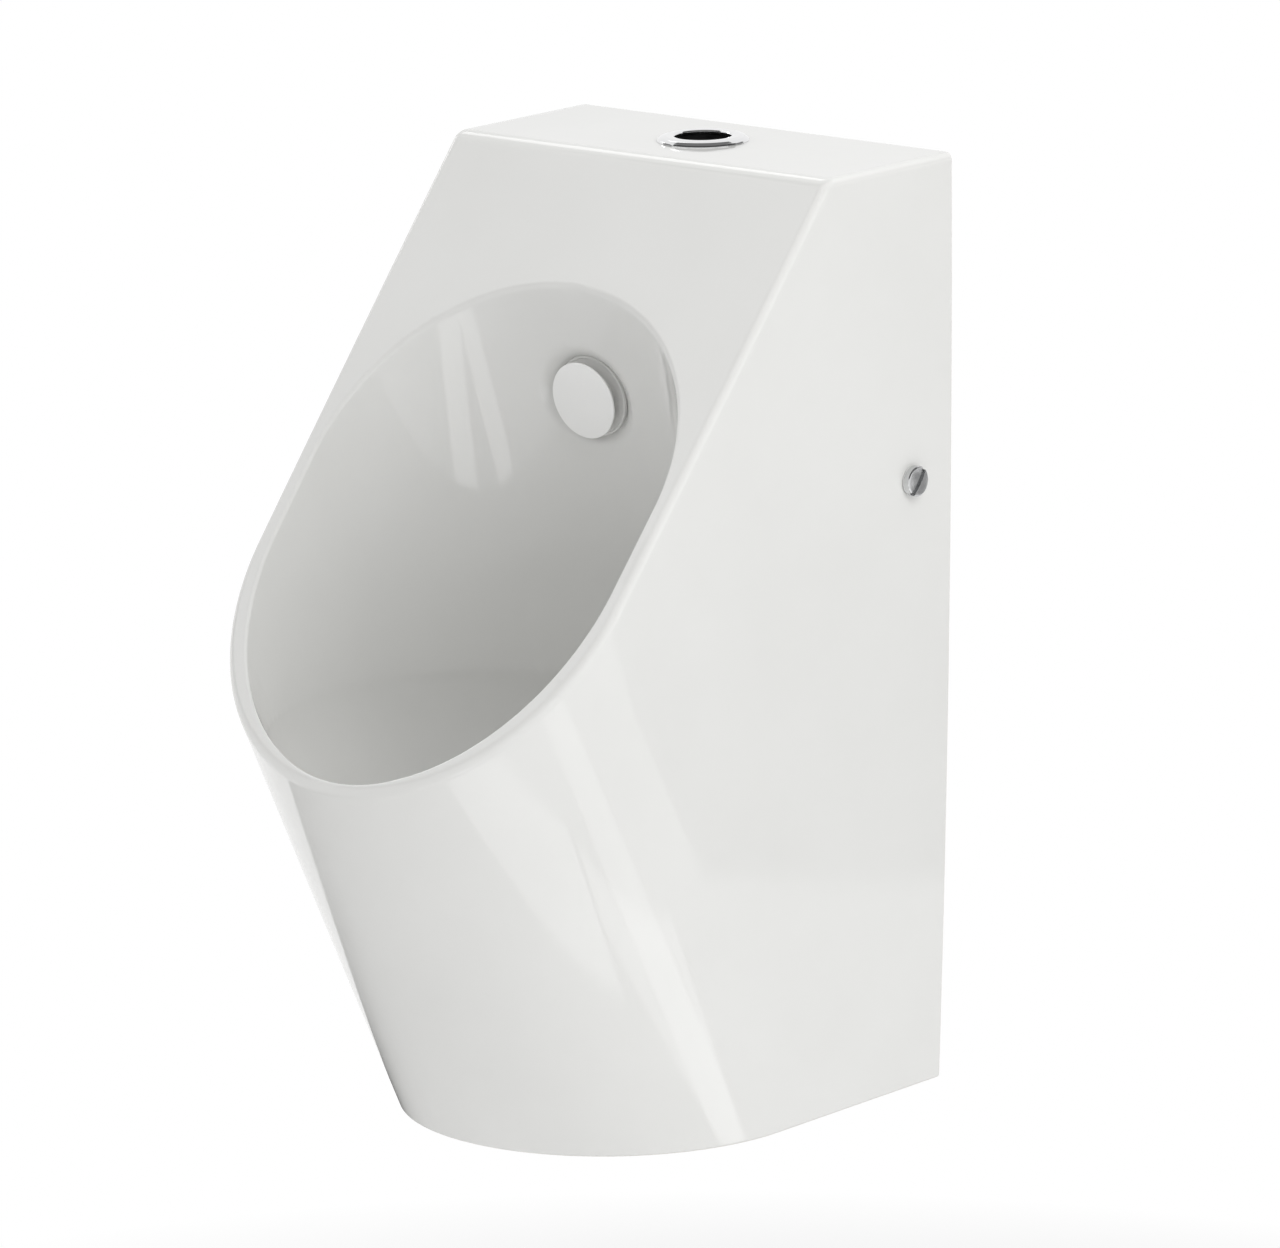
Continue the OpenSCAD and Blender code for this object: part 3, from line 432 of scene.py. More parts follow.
def field(p, part=None):
    """Distance from the surface of the ceramic or of its hollow, negative inside it."""
    x, y, z = p[..., 0], p[..., 1], p[..., 2]
    plan = upright(outer_plan, x, y, z)
    face = -(y - face_y(z)) / SLOPE_LEN
    body = meet(EDGE_R, plan, face, z - BODY_H)
    body = meet(BASE_R, body, -z, y)
    # the spreader's recess, hole and boss, along and across its own middle line
    c, s = math.cos(math.radians(BACK_TILT)), math.sin(math.radians(BACK_TILT))
    y0 = bowl_back(SPREADER_H)
    out = -(y - y0) * c - (z - SPREADER_H) * s
    up = -(y - y0) * -s + (z - SPREADER_H) * -c
    rho = np.sqrt(x ** 2 + up ** 2)
    dish = np.sqrt((x / RECESS_WIDE) ** 2 + (up / RECESS_HIGH) ** 2)
    flank = (dish - RECESS_R - RECESS_FLARE * np.clip(out, -RECESS_DEPTH, RECESS_OVER)) * RECESS_SCALE
    recess = meet(RECESS_FLOOR_R, flank, -RECESS_DEPTH - out)
    tail = np.maximum(rho - TAIL_HOLE_R, out + TAIL_HOLE_IN)
    boss = np.maximum(rho - BOSS_R, -(out + RECESS_DEPTH + SHELL))
    # the hollow keeps clear of the walls, the ledge, the bowl and both bosses
    waste_rho = np.sqrt(x ** 2 + (y - WASTE_Y) ** 2)
    waste_boss = np.maximum(waste_rho - WASTE_BOSS_R, FLOOR_H - WASTE_BOSS_H - z)
    inset = meet(HOLLOW_R, plan + SHELL, face + SHELL, z - BODY_H + LEDGE)
    grown = bowl_gap(x, y, z, SHELL)
    hollow = meet(HOLLOW_R, meet(HOLLOW_TOP_R, inset, -grown), -boss, -waste_boss)
    if part == "hollow":
        return hollow
    f = meet(RIM_R, body, -bowl_gap(x, y, z))
    f = meet(BASE_R, f, -hollow)
    f = meet(RECESS_LIP_R, f, -recess)
    f = meet(HOLE_EDGE_R, f, -tail)
    inlet = np.sqrt(x ** 2 + (y - INLET_Y) ** 2) - INLET_HOLE_R
    f = meet(HOLE_EDGE_R, f, -np.maximum(inlet, INLET_HOLE_H - z))
    f = meet(HOLE_EDGE_R, f, -np.maximum(waste_rho - WASTE_HOLE_R, z - FLOOR_H + WASTE_HOLE_IN))
    f = meet(SEAT_EDGE_R, f, -np.maximum(waste_rho - SEAT_R, FLOOR_H - SEAT_IN - z))
    side = np.sqrt((y - SCREW_Y) ** 2 + (z - FIXING_H) ** 2) - SIDE_HOLE_R
    return meet(HOLE_EDGE_R, f, -side)


def gradient(fn, p):
    """The field's gradient at points, from differences."""
    h = 0.05
    g = np.empty_like(p)
    for k in range(3):
        d = np.zeros(3)
        d[k] = h
        g[:, k] = (fn(p + d) - fn(p - d)) / (2 * h)
    return g


def project(fn, p):
    """Moves points onto the surface in up to 12 steps, each until it is within 0.1 micrometre."""
    close, far_step, least_slope = 1e-4, 1.5, 0.2
    p = p.copy()
    rest = np.arange(len(p))
    for _ in range(12):
        f = fn(p[rest])
        off = np.abs(f) > close
        rest, f = rest[off], f[off]
        if not len(rest):
            break
        g = gradient(fn, p[rest])
        step = f / np.maximum((g ** 2).sum(1), least_slope)
        p[rest] -= np.clip(step, -far_step, far_step)[:, None] * g
    return p


def unit(g):
    """Vectors made one long."""
    return g / np.maximum(np.linalg.norm(g, axis=1), TINY)[:, None]


def surface_net(fn, lo, hi, cell):
    """Vertices and quads of the surface, one vertex in each cell that it crosses."""
    # uneven margins, so that no flat side of the box lies in the grid's planes
    lo = np.array(lo) - 1.4 * cell
    hi = np.array(hi) + 1.6 * cell
    n = np.ceil((hi - lo) / cell).astype(int) + 1
    xs, ys, zs = (lo[k] + cell * np.arange(n[k]) for k in range(3))
    v = np.empty(n, np.float32)
    for i, xv in enumerate(xs):
        yy, zz = np.meshgrid(ys, zs, indexing="ij")
        v[i] = fn(np.stack([np.full_like(yy, xv), yy, zz], -1))
    neg = v < 0
    corners = [(a, b, c) for a in (0, 1) for b in (0, 1) for c in (0, 1)]
    cnt = np.zeros(n - 1, np.int8)
    for a, b, c in corners:
        cnt += neg[a:n[0] - 1 + a, b:n[1] - 1 + b, c:n[2] - 1 + c]
    cross = (cnt > 0) & (cnt < len(corners))
    ids = -np.ones(n - 1, np.int64)
    cells = np.argwhere(cross)
    ids[cross] = np.arange(len(cells))
    # each vertex is the mean of the places where the surface cuts its cell's edges
    acc = np.zeros((len(cells), 3))
    num = np.zeros(len(cells))
    ci, cj, ck = cells.T
    for a in corners:
        for k in range(3):
            if a[k]:
                continue
            b = list(a)
            b[k] = 1
            va = v[ci + a[0], cj + a[1], ck + a[2]].astype(float)
            vb = v[ci + b[0], cj + b[1], ck + b[2]].astype(float)
            hit = (va < 0) != (vb < 0)
            pos = np.tile(np.array(a, float), (len(cells), 1))
            pos[:, k] = np.where(hit, va / np.where(hit, va - vb, 1), 0)
            acc += pos * hit[:, None]
            num += hit
    verts = lo + (cells + acc / num[:, None]) * cell
    # each grid edge that the surface cuts gives a quad of the four cells round it
    quads = []
    for k, (i, j) in enumerate(((1, 2), (2, 0), (0, 1))):
        lower, upper = [slice(None)] * 3, [slice(None)] * 3
        lower[k], upper[k] = slice(0, n[k] - 1), slice(1, n[k])
        edges = np.argwhere(neg[tuple(lower)] != neg[tuple(upper)])
        ei, ej = edges[:, i], edges[:, j]
        edges = edges[(ei > 0) & (ej > 0) & (ei < n[i] - 1) & (ej < n[j] - 1)]
        e = []
        for di, dj in ((-1, -1), (0, -1), (0, 0), (-1, 0)):
            q = edges.copy()
            q[:, i] += di
            q[:, j] += dj
            e.append(ids[q[:, 0], q[:, 1], q[:, 2]])
        quad = np.stack(e, 1)
        inward = neg[edges[:, 0], edges[:, 1], edges[:, 2]]
        quads.append(np.where(inward[:, None], quad, quad[:, ::-1]))
    return verts, np.concatenate(quads)


def refine(fn, p, tris, normals, angle, least):
    """Splits the edges that are longer than least and whose ends' normals differ by more than angle."""
    e = np.sort(np.concatenate([tris[:, [0, 1]], tris[:, [1, 2]], tris[:, [2, 0]]]), 1)
    uniq, inv = np.unique(e, axis=0, return_inverse=True)
    inv = inv.reshape(-1)
    dot = (normals[uniq[:, 0]] * normals[uniq[:, 1]]).sum(1)
    length = np.linalg.norm(p[uniq[:, 0]] - p[uniq[:, 1]], axis=1)
    mark = (dot < math.cos(math.radians(angle))) & (length > least)
    emark = mark[inv].reshape(3, len(tris)).T
    new = -np.ones(len(uniq), np.int64)
    new[mark] = len(p) + np.arange(mark.sum())
    mid = project(fn, (p[uniq[mark, 0]] + p[uniq[mark, 1]]) / 2)
    emid = new[inv].reshape(3, len(tris)).T
    p = np.concatenate([p, mid])
    out = [tris[~emark.any(1)]]

    def cut(*corners):
        out.append(np.stack(corners, 1))

    # triangles with one edge split, with two and with three
    count = emark.sum(1)
    for k in range(3):
        a, b, c = k, (k + 1) % 3, (k + 2) % 3
        s = (count == 1) & emark[:, k]
        t, m = tris[s], emid[s, k]
        cut(t[:, a], m, t[:, c])
        cut(m, t[:, b], t[:, c])
        s = (count == 2) & ~emark[:, k]
        t, m1, m2 = tris[s], emid[s, b], emid[s, c]
        cut(m1, t[:, c], m2)
        cut(t[:, a], t[:, b], m2)
        cut(t[:, b], m1, m2)
    s = count == 3
    t, q = tris[s], emid[s]
    cut(t[:, 0], q[:, 0], q[:, 2])
    cut(q[:, 0], t[:, 1], q[:, 1])
    cut(q[:, 2], q[:, 1], t[:, 2])
    cut(q[:, 0], q[:, 1], q[:, 2])
    return p, np.concatenate(out)


def new_mesh(name, verts, tris, normals=None):
    """An object from arrays in metres, with its exact normals where they are given."""
    mesh = bpy.data.meshes.new(name)
    mesh.vertices.add(len(verts))
    mesh.vertices.foreach_set("co", np.asarray(verts, np.float32).ravel())
    mesh.loops.add(3 * len(tris))
    mesh.loops.foreach_set("vertex_index", np.asarray(tris, np.int32).ravel())
    mesh.polygons.add(len(tris))
    mesh.polygons.foreach_set("loop_start", np.arange(0, 3 * len(tris), 3, dtype=np.int32))
    mesh.polygons.foreach_set("use_smooth", np.ones(len(tris), bool))
    mesh.update(calc_edges=True)
    if normals is not None:
        mesh.normals_split_custom_set_from_vertices(normals.astype(np.float32))
    return link(name, mesh)


def skin(fn, lo, hi, cell, rounds, angle, least):
    """Vertices, triangles and normals of a field's surface, finer where it curves."""
    verts, quads = surface_net(fn, lo, hi, cell)
    verts = project(fn, verts)
    tris = np.concatenate([quads[:, [0, 1, 2]], quads[:, [0, 2, 3]]])
    normals = unit(gradient(fn, verts))
    for _ in range(rounds):
        verts, tris = refine(fn, verts, tris, normals, angle, least)
        normals = unit(gradient(fn, verts))
    return verts, tris, normals


def ceramic():
    """The casting, with the attribute bare at 1 where it has no glaze."""
    box = (-BODY_W / 2, -LIP_D, 0.0), (BODY_W / 2, 0.0, BODY_H)
    cell = 4.0
    verts, tris, normals = skin(field, *box, cell, rounds=3, angle=9, least=0.6)
    # bare in the hollow, at the wall and under the foot, fading out over a millimetre or less
    in_hollow = np.clip(2 - np.abs(field(verts, "hollow")), 0, 1)
    at_wall = np.clip((verts[:, 1] + 1.2) / 0.6, 0, 1)
    at_foot = np.clip((0.9 - verts[:, 2]) / 0.5, 0, 1)
    bare = np.maximum(np.maximum(in_hollow, at_wall), at_foot)
    verts[:, 2] -= FIXING_H
    obj = new_mesh("ceramic_shell", verts * MM, tris, normals)
    obj.data.attributes.new("bare", "FLOAT", "POINT").data.foreach_set("value", bare.astype(np.float32))
    return obj


def dress(obj, node):
    """Gives a piece its finish and its body, and hides the CAD node that it stands for."""
    slot = SLOT_OF[node]
    obj.data.materials.append(MATERIALS[slot])
    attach(obj, BODY_OF[node])
    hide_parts(node)


# ---------------------------------------------------------------- fittings
# Frames of the fittings, in mm, each with z along its own middle line
AT_INLET = Matrix.Translation((0, INLET_Y, BODY_H - FIXING_H))
AT_SPREADER = (Matrix.Translation((0, bowl_back(SPREADER_H), SPREADER_H - FIXING_H))
               @ Matrix.Rotation(math.radians(90 + BACK_TILT), 4, "X"))
AT_WASTE = Matrix.Translation((0, WASTE_Y, -FIXING_H))
AT_OUTLET = Matrix.Translation((0, WASTE_Y, OUTLET_H - FIXING_H)) @ Matrix.Rotation(math.radians(-90), 4, "X")
AT_SCREW = {1: Matrix.Translation((0, SCREW_Y, 0)) @ Matrix.Rotation(math.radians(90), 4, "Y")}
AT_SCREW[-1] = Matrix.Scale(-1, 4, (1, 0, 0)) @ AT_SCREW[1]
SIDE_NAMES = {1: "right", -1: "left"}

# Where a rib's outline is set out, as shares of its radius, and the steps between two ribs
RIB_SHARES = (-1, -0.93, -0.75, -0.5, -0.25, 0, 0.25, 0.5, 0.75, 0.93, 1)
RIB_GAP_STEPS = 6
# How far inside the widest wall a point still moves out with the ribs
RIB_BAND = 1.5


def fillet(points, radius, steps=3):
    """A closed outline with its corners rounded. A third number at a point is its own radius."""
    on_axis, nearly_straight, most_of_side = 1e-6, 1.5, 0.45
    out = []
    n = len(points)
    for i, pt in enumerate(points):
        a, b, c = (Vector(points[(i + k) % n][:2]) for k in (-1, 0, 1))
        want = pt[2] if len(pt) > 2 else radius
        u, v = (a - b), (c - b)
        lu, lv = u.length, v.length
        if want <= 0 or min(b.x, lu, lv) < on_axis:
            out.append((b.x, b.y))
            continue
        u, v = u / lu, v / lv
        half = math.acos(max(-1, min(1, u.dot(v)))) / 2
        if half > nearly_straight:
            out.append((b.x, b.y))
            continue
        cut = min(want / math.tan(half), most_of_side * lu, most_of_side * lv)
        p0, p1 = b + u * cut, b + v * cut
        for k in range(steps + 1):
            t = k / steps
            # a quadratic curve is close to the arc at these sizes
            q = p0 * (1 - t) ** 2 + b * 2 * t * (1 - t) + p1 * t ** 2
            out.append((q.x, q.y))
    return out


def thread_wall(r, z0, z1, pitch, depth):
    """Outline points of a threaded wall from z0 to z1, whose depth fades at both ends."""
    per_pitch, fade_points = 6, 4
    n = max(per_pitch, int(abs(z1 - z0) / pitch * per_pitch))
    out = []
    for k in range(n + 1):
        t = k / n
        fade = min(1.0, t * n / fade_points, (1 - t) * n / fade_points)
        out.append((r, z0 + (z1 - z0) * t, depth * fade, pitch))
    return out


def turned(outline, segments=96):
    """A closed outline turned about z. A point's third and fourth numbers are a thread's depth and pitch."""
    verts, faces = [], []
    n = len(outline)
    for k in range(segments):
        a = 2 * math.pi * k / segments
        for pt in outline:
            r = pt[0]
            if len(pt) > 2:
                # a sawtooth cut to a flat crest and a flat root
                saw = (pt[1] / pt[3] - a / (2 * math.pi)) % 1.0
                r -= pt[2] * min(1.0, max(0.0, 1.5 * abs(2 * saw - 1) - 0.25))
            verts.append((r * math.cos(a), r * math.sin(a), pt[1]))
    for k in range(segments):
        m = (k + 1) % segments
        for i in range(n):
            j = (i + 1) % n
            faces.append((k * n + i, m * n + i, m * n + j, k * n + j))
    return verts, faces


def ribbed(outline, ribs, rib_r):
    """A closed outline turned about z, with round ribs on its widest wall."""
    wide = max(pt[0] for pt in outline)
    rib_a = rib_r / wide
    steps = [(u * rib_a, rib_r * math.sqrt(1 - u * u)) for u in RIB_SHARES]
    gap = 2 * math.pi / ribs - 2 * rib_a
    steps += [(rib_a + gap * k / RIB_GAP_STEPS, 0.0) for k in range(1, RIB_GAP_STEPS)]
    verts, faces = [], []
    n, turns = len(outline), len(steps) * ribs
    for k in range(ribs):
        for da, bump in steps:
            a = 2 * math.pi * k / ribs + da
            for pt in outline:
                q = pt[0] + (bump if pt[0] > wide - RIB_BAND else 0)
                verts.append((q * math.cos(a), q * math.sin(a), pt[1]))
    for k in range(turns):
        m = (k + 1) % turns
        faces += [(k * n + i, m * n + i, m * n + (i + 1) % n, k * n + (i + 1) % n) for i in range(n)]
    return verts, faces


def sector(r0, r1, z0, z1, a0, a1):
    """A closed piece of a tube between two angles in degrees."""
    steps = 8
    verts, faces = [], []
    for k in range(steps + 1):
        a = math.radians(a0 + (a1 - a0) * k / steps)
        verts += [(q * math.cos(a), q * math.sin(a), z) for q, z in ((r0, z0), (r1, z0), (r1, z1), (r0, z1))]
    for k in range(steps):
        b = 4 * k
        faces += [(b + i, b + 4 + i, b + 4 + (i + 1) % 4, b + (i + 1) % 4) for i in range(4)]
    last = 4 * steps
    faces += [(3, 2, 1, 0), (last, last + 1, last + 2, last + 3)]
    return verts, faces


def finish_piece(name, node, bm, angle):
    """An object from a bmesh in place of its CAD node, smooth but for edges over angle."""
    for f in bm.faces:
        f.smooth = True
    mesh = bpy.data.meshes.new(name)
    bm.to_mesh(mesh)
    bm.free()
    mesh.set_sharp_from_angle(angle=math.radians(angle))
    obj = link(name, mesh)
    dress(obj, node)
    return obj


def make(name, node, place, *shapes, angle=38):
    """One object from shapes in mm in a fitting's frame, in place of its CAD node."""
    bm = bmesh.new()
    for verts, faces in shapes:
        vs = [bm.verts.new(v) for v in verts]
        for f in faces:
            bm.faces.new([vs[i] for i in f])
    bmesh.ops.remove_doubles(bm, verts=bm.verts, dist=1e-4)
    bmesh.ops.recalc_face_normals(bm, faces=bm.faces)
    bm.transform(Matrix.Scale(MM, 4) @ place)
    if place.determinant() < 0:
        bmesh.ops.reverse_faces(bm, faces=bm.faces)
    return finish_piece(name, node, bm, angle)


def soften(node, width, merge):
    """A copy of a CAD node with its edges rounded by width in mm. Flat faces are first made one if merge."""
    edge_angle = 32
    sharp, flat = math.radians(edge_angle), math.radians(0.6)
    bm = bmesh.new()
    bm.from_mesh(NODES[node].data)
    bmesh.ops.remove_doubles(bm, verts=bm.verts, dist=2e-6)
    if merge:
        bmesh.ops.dissolve_limit(bm, angle_limit=flat, verts=bm.verts, edges=bm.edges)
    edges = [e for e in bm.edges if len(e.link_faces) == 2 and e.calc_face_angle(0) > sharp]
    bmesh.ops.bevel(bm, geom=edges, offset=width * MM, segments=2, profile=0.5, affect="EDGES",
                    clamp_overlap=True, loop_slide=merge)
    bmesh.ops.dissolve_degenerate(bm, dist=8e-6, edges=bm.edges)
    finish_piece(node + "_piece", node, bm, edge_angle)


def rosette():
    """Domed chrome ring with a rolled inner edge."""
    outline = [
        (18.0, 0.6, 0), (18.0, 2.5, 0.4), (18.6, 3.35, 0.5), (20.2, 3.6, 0.8), (23.5, 3.6, 1.6),
        (26.6, 2.9, 1.6), (28.6, 1.5, 0.8), (29.0, 0.5, 0.2), (29.0, 0.05, 0), (28.2, 0.05, 0),
        (26.1, 0.6, 0), (26.1, 2.4, 0.2), (19.8, 2.4, 0.2), (19.8, 0.6, 0)]
    make("rosette_ring", "inlet_rosette", AT_INLET, turned(fillet(outline, 0.2, steps=4), segments=160))


def lip_seal():
    """Rubber seal with three lips under its funnel and a grip land at its foot."""
    outline = [
        (19.6, -29.0), (19.6, -12.0), (19.35, -11.5), (19.35, -9.0), (19.6, -8.5), (19.6, 2.3),
        (18.9, 2.3, 0.3), (18.6, 0.5, 0.4), (18.55, -2.0, 0.6), (17.75, -3.4, 0.35), (18.5, -4.3, 0.6),
        (18.5, -5.6, 0.6), (17.65, -7.0, 0.35), (18.5, -7.9, 0.6), (18.5, -9.2, 0.6), (17.6, -10.6, 0.35),
        (18.5, -11.5, 0.6), (18.5, -13.0, 0.6), (17.5, -14.2, 0.5), (17.5, -16.8, 0), (17.5, -28.2, 0),
        (18.2, -29.0, 0)]
    make("lip_seal", "inlet_lip_seal", AT_INLET, turned(fillet(outline, 0.25), segments=128))


def spud():
    """Flanged bush with a thread under its flange and an inner lip at its foot."""
    outline = fillet([(19.7, 2.4), (26.0, 2.4, 0.4), (26.0, 1.0, 0.3), (22.0, 1.0, 0)], 0.2)
    outline += thread_wall(22.0, -1.0, -44.0, 2.0, 0.9)
    outline += fillet([
        (22.0, -44.6, 0), (21.0, -48.0, 0.6), (16.1, -48.0, 0.4), (16.1, -45.5, 0.3), (19.7, -45.5, 0)], 0.3)
    make("spud_bush", "inlet_spud", AT_INLET, turned(outline))


def spreader():
    """Flange with a raised rim and a long threaded tail, which ends just short of the elbow."""
    tail = -58.41
    outline = fillet([
        (12.5, -2.0, 0.3), (17.0, -2.0, 0.3), (17.6, -2.7, 0.3), (24.6, -2.9, 0.3), (25.0, -2.4, 0.2),
        (26.2, -2.5, 0.3), (26.5, -3.4, 0.4), (26.5, -5.0, 0.3), (16.0, -5.0, 0)], 0.3)
    outline += thread_wall(16.0, -6.0, -44.0, 1.8, 0.8)
    outline += fillet([(16.0, -45.0, 0), (16.0, tail, 0.6), (12.5, tail, 0.4)], 0.4)
    make("spreader_tail", "spreader_body", AT_SPREADER, turned(outline))


def flush_elbow():
    """Moulded pipe that drops, bends towards the spreader and ends in a rolled bead."""
    pipe_r, bore_r, sides = 16.0, 14.0, 72
    bend_r, bend_z, bend_steps = 45.0, 511.464, 24
    bend_y, turn, run = INLET_Y - bend_r, math.radians(90 - BACK_TILT), 15.3
    # middle line from the top: places (y, z) and directions
    line = [((INLET_Y, z), (0.0, -1.0)) for z in (568.0, 567.4, 566.6, 556.0, 545.0, 534.0, 523.0, bend_z)]
    for k in range(1, bend_steps + 1):
        a = turn * k / bend_steps
        place = bend_y + bend_r * math.cos(a), bend_z - bend_r * math.sin(a)
        line.append((place, (-math.sin(a), -math.cos(a))))
    (ey, ez), (ty, tz) = line[-1]
    for d in (0.6, 1.0, 6.0, 12.0, run - 1.2, run - 0.5, run):
        line.append(((ey + ty * d, ez + tz * d), (ty, tz)))
    # outer radii, rounded at both ends and swollen to a bead at the end of the bend
    outer = [15.4, 15.8] + [pipe_r] * (len(line) - 4) + [15.8, 15.4]
    for k, swell in ((-9, 0.9), (-8, 1.5), (-7, 1.2)):
        outer[k] += swell
    rings = [(c, t, q) for (c, t), q in zip(line, outer)]
    rings += [(c, t, bore_r) for c, t in reversed(line)]
    verts, faces = [], []
    for (y, z), (ty, tz), q in rings:
        for k in range(sides):
            a = 2 * math.pi * k / sides
            verts.append((q * math.cos(a), y + q * math.sin(a) * -tz, z - FIXING_H + q * math.sin(a) * ty))
    for i in range(len(rings)):
        b, e = i * sides, (i + 1) % len(rings) * sides
        faces += [(b + k, b + (k + 1) % sides, e + (k + 1) % sides, e + k) for k in range(sides)]
    make("elbow_pipe", "flush_elbow", Matrix.Identity(4), (verts, faces))


def cap():
    """Crowned cap with a thin lip, an undercut skirt and four clip legs."""
    crown = [(0.0, 7.2), (6.0, 7.16), (12.0, 7.04), (18.0, 6.84), (22.0, 6.66)]
    rim = fillet([
        (22.0, 6.66, 0), (24.9, 6.5, 0.7), (24.9, 5.5, 0.3), (19.0, 3.0, 0.4), (17.0, 3.0, 0.4),
        (17.0, 4.6, 0.8), (0.0, 4.8, 0)], 0.4, steps=5)
    shapes = [turned(crown + rim[1:], segments=160)]
    # each leg and the barb near its end
    for turn in (45, 135, 225, 315):
        shapes.append(sector(10.45, 12.45, -20.0, 5.2, turn - 17, turn + 17))
        shapes.append(sector(11.6, 12.48, -19.2, -17.6, turn - 15, turn + 15))
    make("cap_disc", "spreader_cap", AT_SPREADER, *shapes)


def trap_fittings():
    """The lock nut with its lugs, the trap's two ribbed nuts and its ribbed cup."""
    lock = [(28.1, 138, 0.4), (40, 138, 0.8), (40, 147, 0.8), (28.1, 147, 0.4)]
    union = [(26, 115, 0.3), (35, 115, 0.8), (35, 133, 0.8), (28.1, 133, 0.4), (28.1, 118, 0), (26, 118, 0.2)]
    outlet = [(27.9, 74, 0.4), (36, 74, 0.8), (36, 96, 0.8), (25.5, 96, 0.3), (25.5, 93, 0.2), (27.9, 93, 0)]
    cup = [
        (0, 4), (37, 4, 3), (48, 26, 0.6), (53, 26, 0.8), (53, 50, 0.8), (48.05, 50, 0.4), (48.05, 31, 0),
        (44, 31, 0.3), (44, 26, 0.5), (33, 8, 2.5), (0, 8)]
    for name, node, place, outline, ribs, rib_r in (
            ("lock_nut_lugged", "waste_lock_nut", AT_WASTE, lock, 6, 4.5),
            ("union_nut_ribbed", "trap_union_nut", AT_WASTE, union, 12, 2.5),
            ("outlet_nut_ribbed", "trap_outlet_nut", AT_OUTLET, outlet, 12, 2.5),
            ("cup_ribbed", "trap_cup", AT_WASTE, cup, 24, 2.5)):
        make(name, node, place, ribbed(fillet(outline, 0.3), ribs, rib_r))


def head_field(p):
    """Slotted screw head with a domed face, in the screw's frame."""
    crown_scale, seat_r, slot_r = 0.98, 0.25, 0.22
    x, y, z = p[..., 0], p[..., 1], p[..., 2]
    rho = np.sqrt(x ** 2 + y ** 2)
    top = HEAD_Z + HEAD_T - HEAD_CROWN * (rho / HEAD_R) ** 2
    head = meet(HEAD_EDGE_R, rho - HEAD_R, (z - top) * crown_scale)
    head = meet(seat_r, head, HEAD_Z - z)
    across = np.abs(-x * math.sin(SLOT_TURN) + y * math.cos(SLOT_TURN))
    slot = np.maximum(across - SLOT_HALF, HEAD_Z + HEAD_T - SLOT_DEPTH - z)
    return meet(slot_r, head, -slot)


def side_screw(side):
    """Slotted chrome head on a threaded shank."""
    box = (-HEAD_R, -HEAD_R, HEAD_Z), (HEAD_R, HEAD_R, HEAD_Z + HEAD_T)
    cell = 0.5
    verts, tris, _ = skin(head_field, *box, cell, rounds=2, angle=14, least=0.12)
    shank_r, pitch, end_z = 4.0, 1.25, 118.2
    shank = [(0.0, HEAD_Z + 0.3), (shank_r, HEAD_Z + 0.3)]
    shank += thread_wall(shank_r, HEAD_Z - 2.0, end_z, pitch, 0.6)
    shank += [(3.4, 116.6), (0.0, 116.4)]
    node = SIDE_NAMES[side] + "_side_screw"
    head = verts.tolist(), tris.tolist()
    obj = make(node + "_piece", node, AT_SCREW[side], head, turned(shank, segments=48), angle=50)
    obj.data.materials[0] = SCREW_STEEL


def side_washer(side):
    """Thin dished washer under the screw head."""
    z = HEAD_Z - WASHER_GAP - WASHER_T
    outline = [
        (4.06, z), (9.1, z, 0.2), (9.45, z + 0.25, 0.2), (9.45, z + 0.6, 0.2), (9.2, z + WASHER_T, 0.2),
        (4.06, z + WASHER_T)]
    node = SIDE_NAMES[side] + "_screw_washer"
    make(node + "_piece", node, AT_SCREW[side], turned(fillet(outline, 0.1)))


# ---------------------------------------------------------------- stage and light
# In metres, in the frame
FLOOR_Z, FLOOR_R = -0.798, 25.0
STAGE_MIDDLE = (0, -0.2, -0.1)
STRIP_AIM = (0, -0.2, 0)


def add_floor():
    """Painted floor that shows as pure white further out and can't be seen from below."""
    t = material("floor_paint")
    far = t.spread(t.length(t.coord()), 0.0, 1.0, 0.6, 1.1)
    grey = t.mix(t.spread(t.noise(3, 4), 0, 1), rgb(0.84), rgb(0.87))
    paint = t.add("ShaderNodeBsdfDiffuse", {"Color": grey})
    top = t.layer(t.math("MULTIPLY", t.seen(), far), paint, t.glow(1.0))
    below = t.add("ShaderNodeNewGeometry").outputs["Backfacing"]
    bm = bmesh.new()
    bmesh.ops.create_circle(bm, cap_ends=True, segments=96, radius=FLOOR_R)
    mesh = bpy.data.meshes.new("floor")
    bm.to_mesh(mesh)
    bm.free()
    mesh.materials.append(t.show(t.layer(below, top, t.clear())))
    obj = link("floor", mesh)
    obj.location = (0, -0.15, FLOOR_Z)


def add_world(strength):
    """A pure white surround that lights the scene with the given strength only."""
    world = bpy.data.worlds.new("studio")
    bpy.context.scene.world = world
    t = Tree(world, "ShaderNodeOutputWorld")
    level = t.spread(t.seen(), strength, 1.0, 0.0, 1.0)
    t.show(t.add("ShaderNodeBackground", {"Color": rgb(1.0), "Strength": level}))


def direction(az, el):
    """The way to an azimuth and elevation in degrees, from the front and to the right."""
    az, el = math.radians(az), math.radians(el)
    return Vector((math.sin(az) * math.cos(el), -math.cos(az) * math.cos(el), math.sin(el)))


def add_area(name, centre, away, along, size, radiance):
    """A rectangular soft box whose back points away and whose long side lies along."""
    z = Vector(away).normalized()
    y = Vector(along)
    y = (y - y.dot(z) * z).normalized()
    x = y.cross(z)
    data = bpy.data.lights.new(name, "AREA")
    data.shape = "RECTANGLE"
    data.size, data.size_y = size
    data.energy = radiance * size[0] * size[1] * math.pi
    obj = link(name, data)
    obj.matrix_world = axes(x, y, z, centre)
    obj.visible_camera = False
    return obj


def add_lamp(name, az, el, dist, size, radiance):
    """A soft box that lights the scene but isn't reflected."""
    way = direction(az, el)
    obj = add_area(name, Vector(STAGE_MIDDLE) + way * dist, way, (0, 0, 1), size, radiance)
    obj.visible_glossy = False


